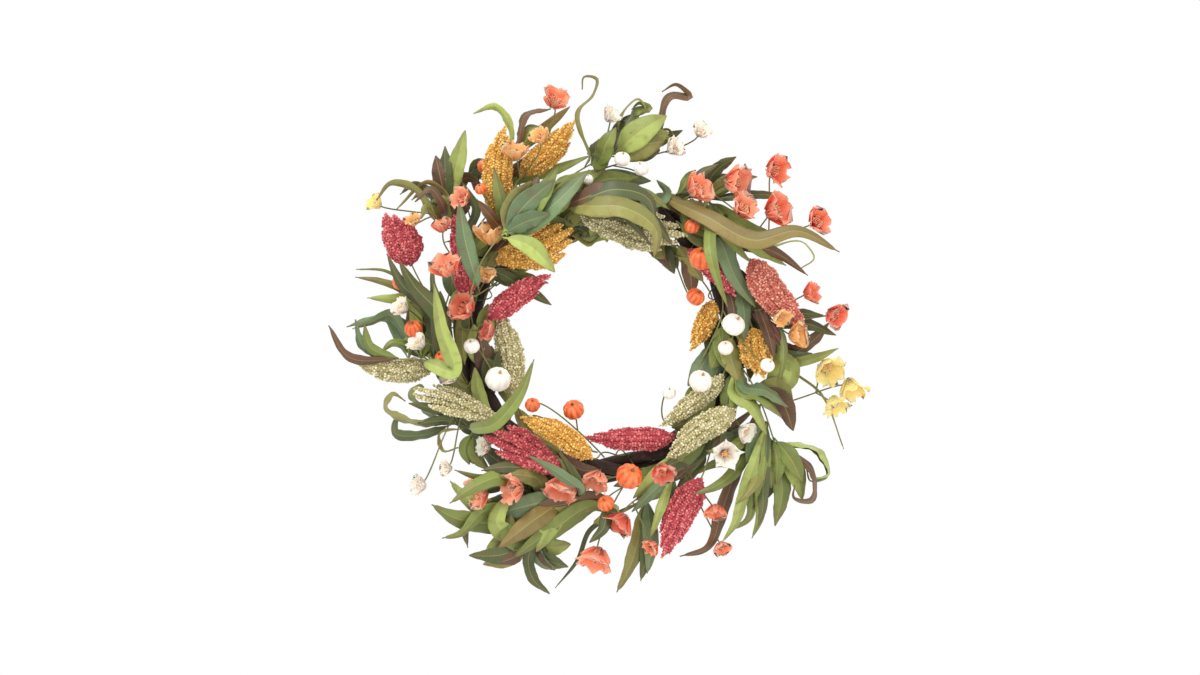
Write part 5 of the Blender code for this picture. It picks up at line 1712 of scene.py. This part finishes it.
class WREATH_OT_picks(bpy.types.Operator):
    """Makes the pumpkins and the blossoms, on their stems"""

    bl_idname = "wreath.picks"
    bl_label = "Pumpkins and blossoms"

    def execute(self, context):
        for number, entry in enumerate(PICKS):
            name = entry[0]
            rng = np.random.default_rng(SEED + 100 + number)
            skins, petals, lines = Cloth(), Cloth(), []
            for place_in_pick, (kind, colour, size, limb) in enumerate(limbs_of(entry)):
                if kind == "ball":
                    add_pumpkin(skins, limb, size, colour, rng)
                else:
                    star = name == "white_blossom_pick_2" and place_in_pick == 0
                    add_blossom(petals, limb, size, "white_star" if star else colour, rng)
                lines.append(stem_line(limb, 3 * MM))
            for cloth, kind, ending, finish in (
                (skins, "ball", "_skin", pumpkin_finish),
                (petals, "cup", "_petals", petal_finish),
            ):
                if cloth.faces:
                    slot = next(thing[1] for thing in entry[2:] if thing[0] == kind)
                    show(name + ending, cloth.mesh(name + ending), finish(), name, slot)
            show_stems(name, lines)
        return {"FINISHED"}


def bending_points():
    """Points along the picks that bend, all through their bend; the extra leaves keep clear of them."""
    paths = []
    for entry in PICKS:
        limbs = [limb for *_, limb in limbs_of(entry)] if entry[0] in BENDING else []
        for share in (-1.0, -0.5, 0.0, 0.5, 1.0) if limbs else ():
            angle = math.radians(share * BENDING[entry[0]])
            hinge = limbs[0].path[0]
            paths += [turned_about(limb.path, hinge, angle) for limb in limbs]
    return np.vstack(paths)


def turned_about(points, hinge, angle):
    """Points turned about the line through the hinge along Y."""
    moved = points - hinge
    c, s = math.cos(angle), math.sin(angle)
    x = moved[:, 0] * c + moved[:, 2] * s
    z = moved[:, 2] * c - moved[:, 0] * s
    return np.column_stack((x, moved[:, 1], z)) + hinge


def shown_points():
    """Points along the heads, pumpkins and blossoms; the extra leaves don't hide them."""
    limbs = [limb for entry in HEADS + PICKS for *_, limb in limbs_of(entry)]
    return np.vstack([limb.path[along_path(limb.path) > limb.body_from] for limb in limbs])


def distance(limb, points):
    """The least distance from a limb's line to any of the points."""
    return np.linalg.norm(limb.path[:, None] - points[None], axis=2).min()


def has_room(limb, bending, shown):
    """Whether an extra leaf keeps clear of what bends, and out of the way of what shows."""
    if distance(limb, bending) < BEND_ROOM:
        return False
    flat = (limb.path[:, None] - shown[None])[:, :, ::2]
    over = np.linalg.norm(flat, axis=2) < SIGHT_ROOM + limb.wide[:, None] * 0.8
    ahead = limb.path[:, None, 1] < shown[None, :, 1] + SIGHT_DEPTH
    return not (over & ahead).any()


def companion(limb, rng):
    """A second leaf from the same place on the stem: shorter, turned aside, and nearer the ring."""
    start = limb.path[0]
    angle = math.radians(rng.uniform(12, 30)) * rng.choice((-1, 1))
    path = turned_about(start + (limb.path - start) * rng.uniform(0.62, 0.92), start, angle)
    share = np.linspace(0, 1, len(path))
    path = path + np.outer(share * rng.uniform(-4, 12), -FRONT) * MM
    path[:, 1] = np.minimum(path[:, 1], BUNDLE_RADIUS - BACK_ROOM)
    wide = limb.wide * rng.uniform(0.85, 1.1)
    return Limb(path, wide, limb.deep, limb.turn + rng.uniform(-0.4, 0.4), True, limb.body_from * 0.7)


def undergrowth(flow, rng):
    """A leaf that lies along the canes, from under the wire towards the way of the wreath."""
    lean = math.radians(rng.uniform(-5, 185))
    run = rng.uniform(0.30, 0.52)
    rise = rng.uniform(6, 24) * MM
    low = BUNDLE_RADIUS + 2.5 * MM
    line = [
        near_ring(flow, low, lean),
        near_ring(flow + run * 0.45, low + rise * 0.55, lean + rng.uniform(-0.15, 0.15)),
        near_ring(flow + run, low + rise, lean + rng.uniform(-0.45, 0.45)),
    ]
    limb = leaf_limb(line, rng.uniform(13, 21), rng.uniform(-30, 30))
    limb.path[:, 1] = np.minimum(limb.path[:, 1], BUNDLE_RADIUS - BACK_ROOM)
    return limb


EXTRA_TRIES = 6  # draws of an extra leaf before its place stays bare
SIGHT_ROOM = 7 * MM  # between the extra leaves and what they would hide, as seen from the front
SIGHT_DEPTH = 6 * MM  # an extra leaf that far behind it hides nothing
BACK_ROOM = 2 * MM  # between the extra leaves and the door
BEND_ROOM = 13 * MM  # between the extra leaves and a pick that bends
EXTRA_TONES = ("green", "dark", "blue", "olive", "dark", "green", "maroon", "light")


class WREATH_OT_leaves(bpy.types.Operator):
    """Makes the sprays of folded, curling leaves"""

    bl_idname = "wreath.leaves"
    bl_label = "Leaf sprays"

    def execute(self, context):
        bending, shown = bending_points(), shown_points()
        for number, entry in enumerate(SPRAYS):
            name = entry[0]
            rng = np.random.default_rng(SEED + 200 + number)
            blades, lines = Cloth(), []
            limbs = limbs_of(entry)

            def grow(draws, rng, blades=blades):
                extra = next((leaf for leaf in draws if has_room(leaf, bending, shown)), None)
                if extra:
                    add_leaf(blades, extra, rng.choice(EXTRA_TONES), rng)

            for kind, shade, width, limb in limbs:
                if kind != "leaf":
                    lines.append(stem_line(limb, 0.0))
                    continue
                fullness = LEAF_FULLNESS if distance(limb, bending) >= BEND_ROOM else 1.0
                add_leaf(blades, limb, shade, rng, fullness)
                lines.append(stem_line(limb, 3 * MM, TWIG_RADIUS * 0.8))
                for _ in range(settings().companions if width > 9 * MM else 0):
                    grow((companion(limb, rng) for _ in range(EXTRA_TRIES)), rng)
            start = flow_of(limbs[0][3].path[0])
            for k in range(settings().undergrowth):
                flow = start + 2 * math.pi / len(SPRAYS) * (k / settings().undergrowth)
                grow((undergrowth(flow, rng) for _ in range(EXTRA_TRIES)), rng)
            mesh = blades.mesh(name + "_blades")
            show(name + "_blades", mesh, leaf_finish(), name)
            show_stems(name, lines)
        return {"FINISHED"}


class WREATH_OT_stage(bpy.types.Operator):
    """Sets the pale floor, the soft lights and the camera"""

    bl_idname = "wreath.stage"
    bl_label = "Stage"

    def execute(self, context):
        low, high = cad_box
        middle = Vector(RING_CENTRE.tolist())
        floor_mesh = bpy.data.meshes.new("floor")
        half = 1.1
        z = low.z - 0.28
        corners = [(-half, -half, z), (half, -half, z), (half, half, z), (-half, half, z)]
        floor_mesh.from_pydata(corners, [], [(0, 1, 2, 3)])
        floor = bpy.data.objects.new("floor", floor_mesh)
        floor_mesh.materials.append(floor_finish())
        bpy.context.scene.collection.objects.link(floor)

        scene = context.scene
        scene.world = scene.world or bpy.data.worlds.new("studio")
        scene.world.use_nodes = True
        backdrop = scene.world.node_tree.nodes["Background"]
        backdrop.inputs["Color"].default_value = (1.0, 1.0, 1.0, 1.0)
        backdrop.inputs["Strength"].default_value = settings().room_light
        scene.view_settings.view_transform = "Standard"

        lamps = (
            ("key", settings().key_power, 0.9, Vector((-1.1, -1.6, 1.9))),
            ("fill", settings().fill_power, 2.0, Vector((1.7, -1.6, 0.3))),
            ("rim", settings().fill_power * 0.7, 1.4, Vector((0.3, 1.5, 1.3))),
        )
        for name, power, size, offset in lamps:
            lamp = bpy.data.lights.new(name, "AREA")
            lamp.energy = power
            lamp.size = size
            made = bpy.data.objects.new(name, lamp)
            made.location = middle + offset
            made.rotation_euler = (-offset).to_track_quat("-Z", "Y").to_euler()
            scene.collection.objects.link(made)

        lens = bpy.data.cameras.new("camera")
        lens.sensor_width = 36.0
        lens.lens = 36.0 * CAMERA_DISTANCE / VIEW_WIDTH
        lens.clip_start = 0.05
        camera = bpy.data.objects.new("camera", lens)
        camera.location = middle + Vector((0.0, -CAMERA_DISTANCE, VIEW_DROP))
        camera.rotation_euler = (math.radians(90), 0.0, 0.0)
        scene.collection.objects.link(camera)
        scene.camera = camera
        return {"FINISHED"}


CAMERA_DISTANCE = 3.2
VIEW_WIDTH = 1.366
VIEW_DROP = -0.0017

OPERATORS = (
    WREATH_OT_canes,
    WREATH_OT_wire,
    WREATH_OT_hanger,
    WREATH_OT_millet,
    WREATH_OT_picks,
    WREATH_OT_leaves,
    WREATH_OT_stage,
)


class WREATH_PT_panel(bpy.types.Panel):
    bl_label = "Harvest wreath"
    bl_idname = "WREATH_PT_panel"
    bl_space_type = "VIEW_3D"
    bl_region_type = "UI"
    bl_category = "Wreath"

    def draw(self, context):
        for label in WreathSettings.__annotations__:
            self.layout.prop(context.scene.wreath, label)
        for operator in OPERATORS:
            self.layout.operator(operator.bl_idname)


CLASSES = (WreathSettings, *OPERATORS, WREATH_PT_panel)


def register():
    for made in CLASSES:
        bpy.utils.register_class(made)
    bpy.types.Scene.wreath = bpy.props.PointerProperty(type=WreathSettings)


def unregister():
    del bpy.types.Scene.wreath
    for made in reversed(CLASSES):
        bpy.utils.unregister_class(made)


def main():
    register()
    bpy.ops.wreath.canes()
    bpy.ops.wreath.wire()
    bpy.ops.wreath.hanger()
    bpy.ops.wreath.millet()
    bpy.ops.wreath.picks()
    bpy.ops.wreath.leaves()
    bpy.ops.wreath.stage()


if __name__ == "__main__":
    main()
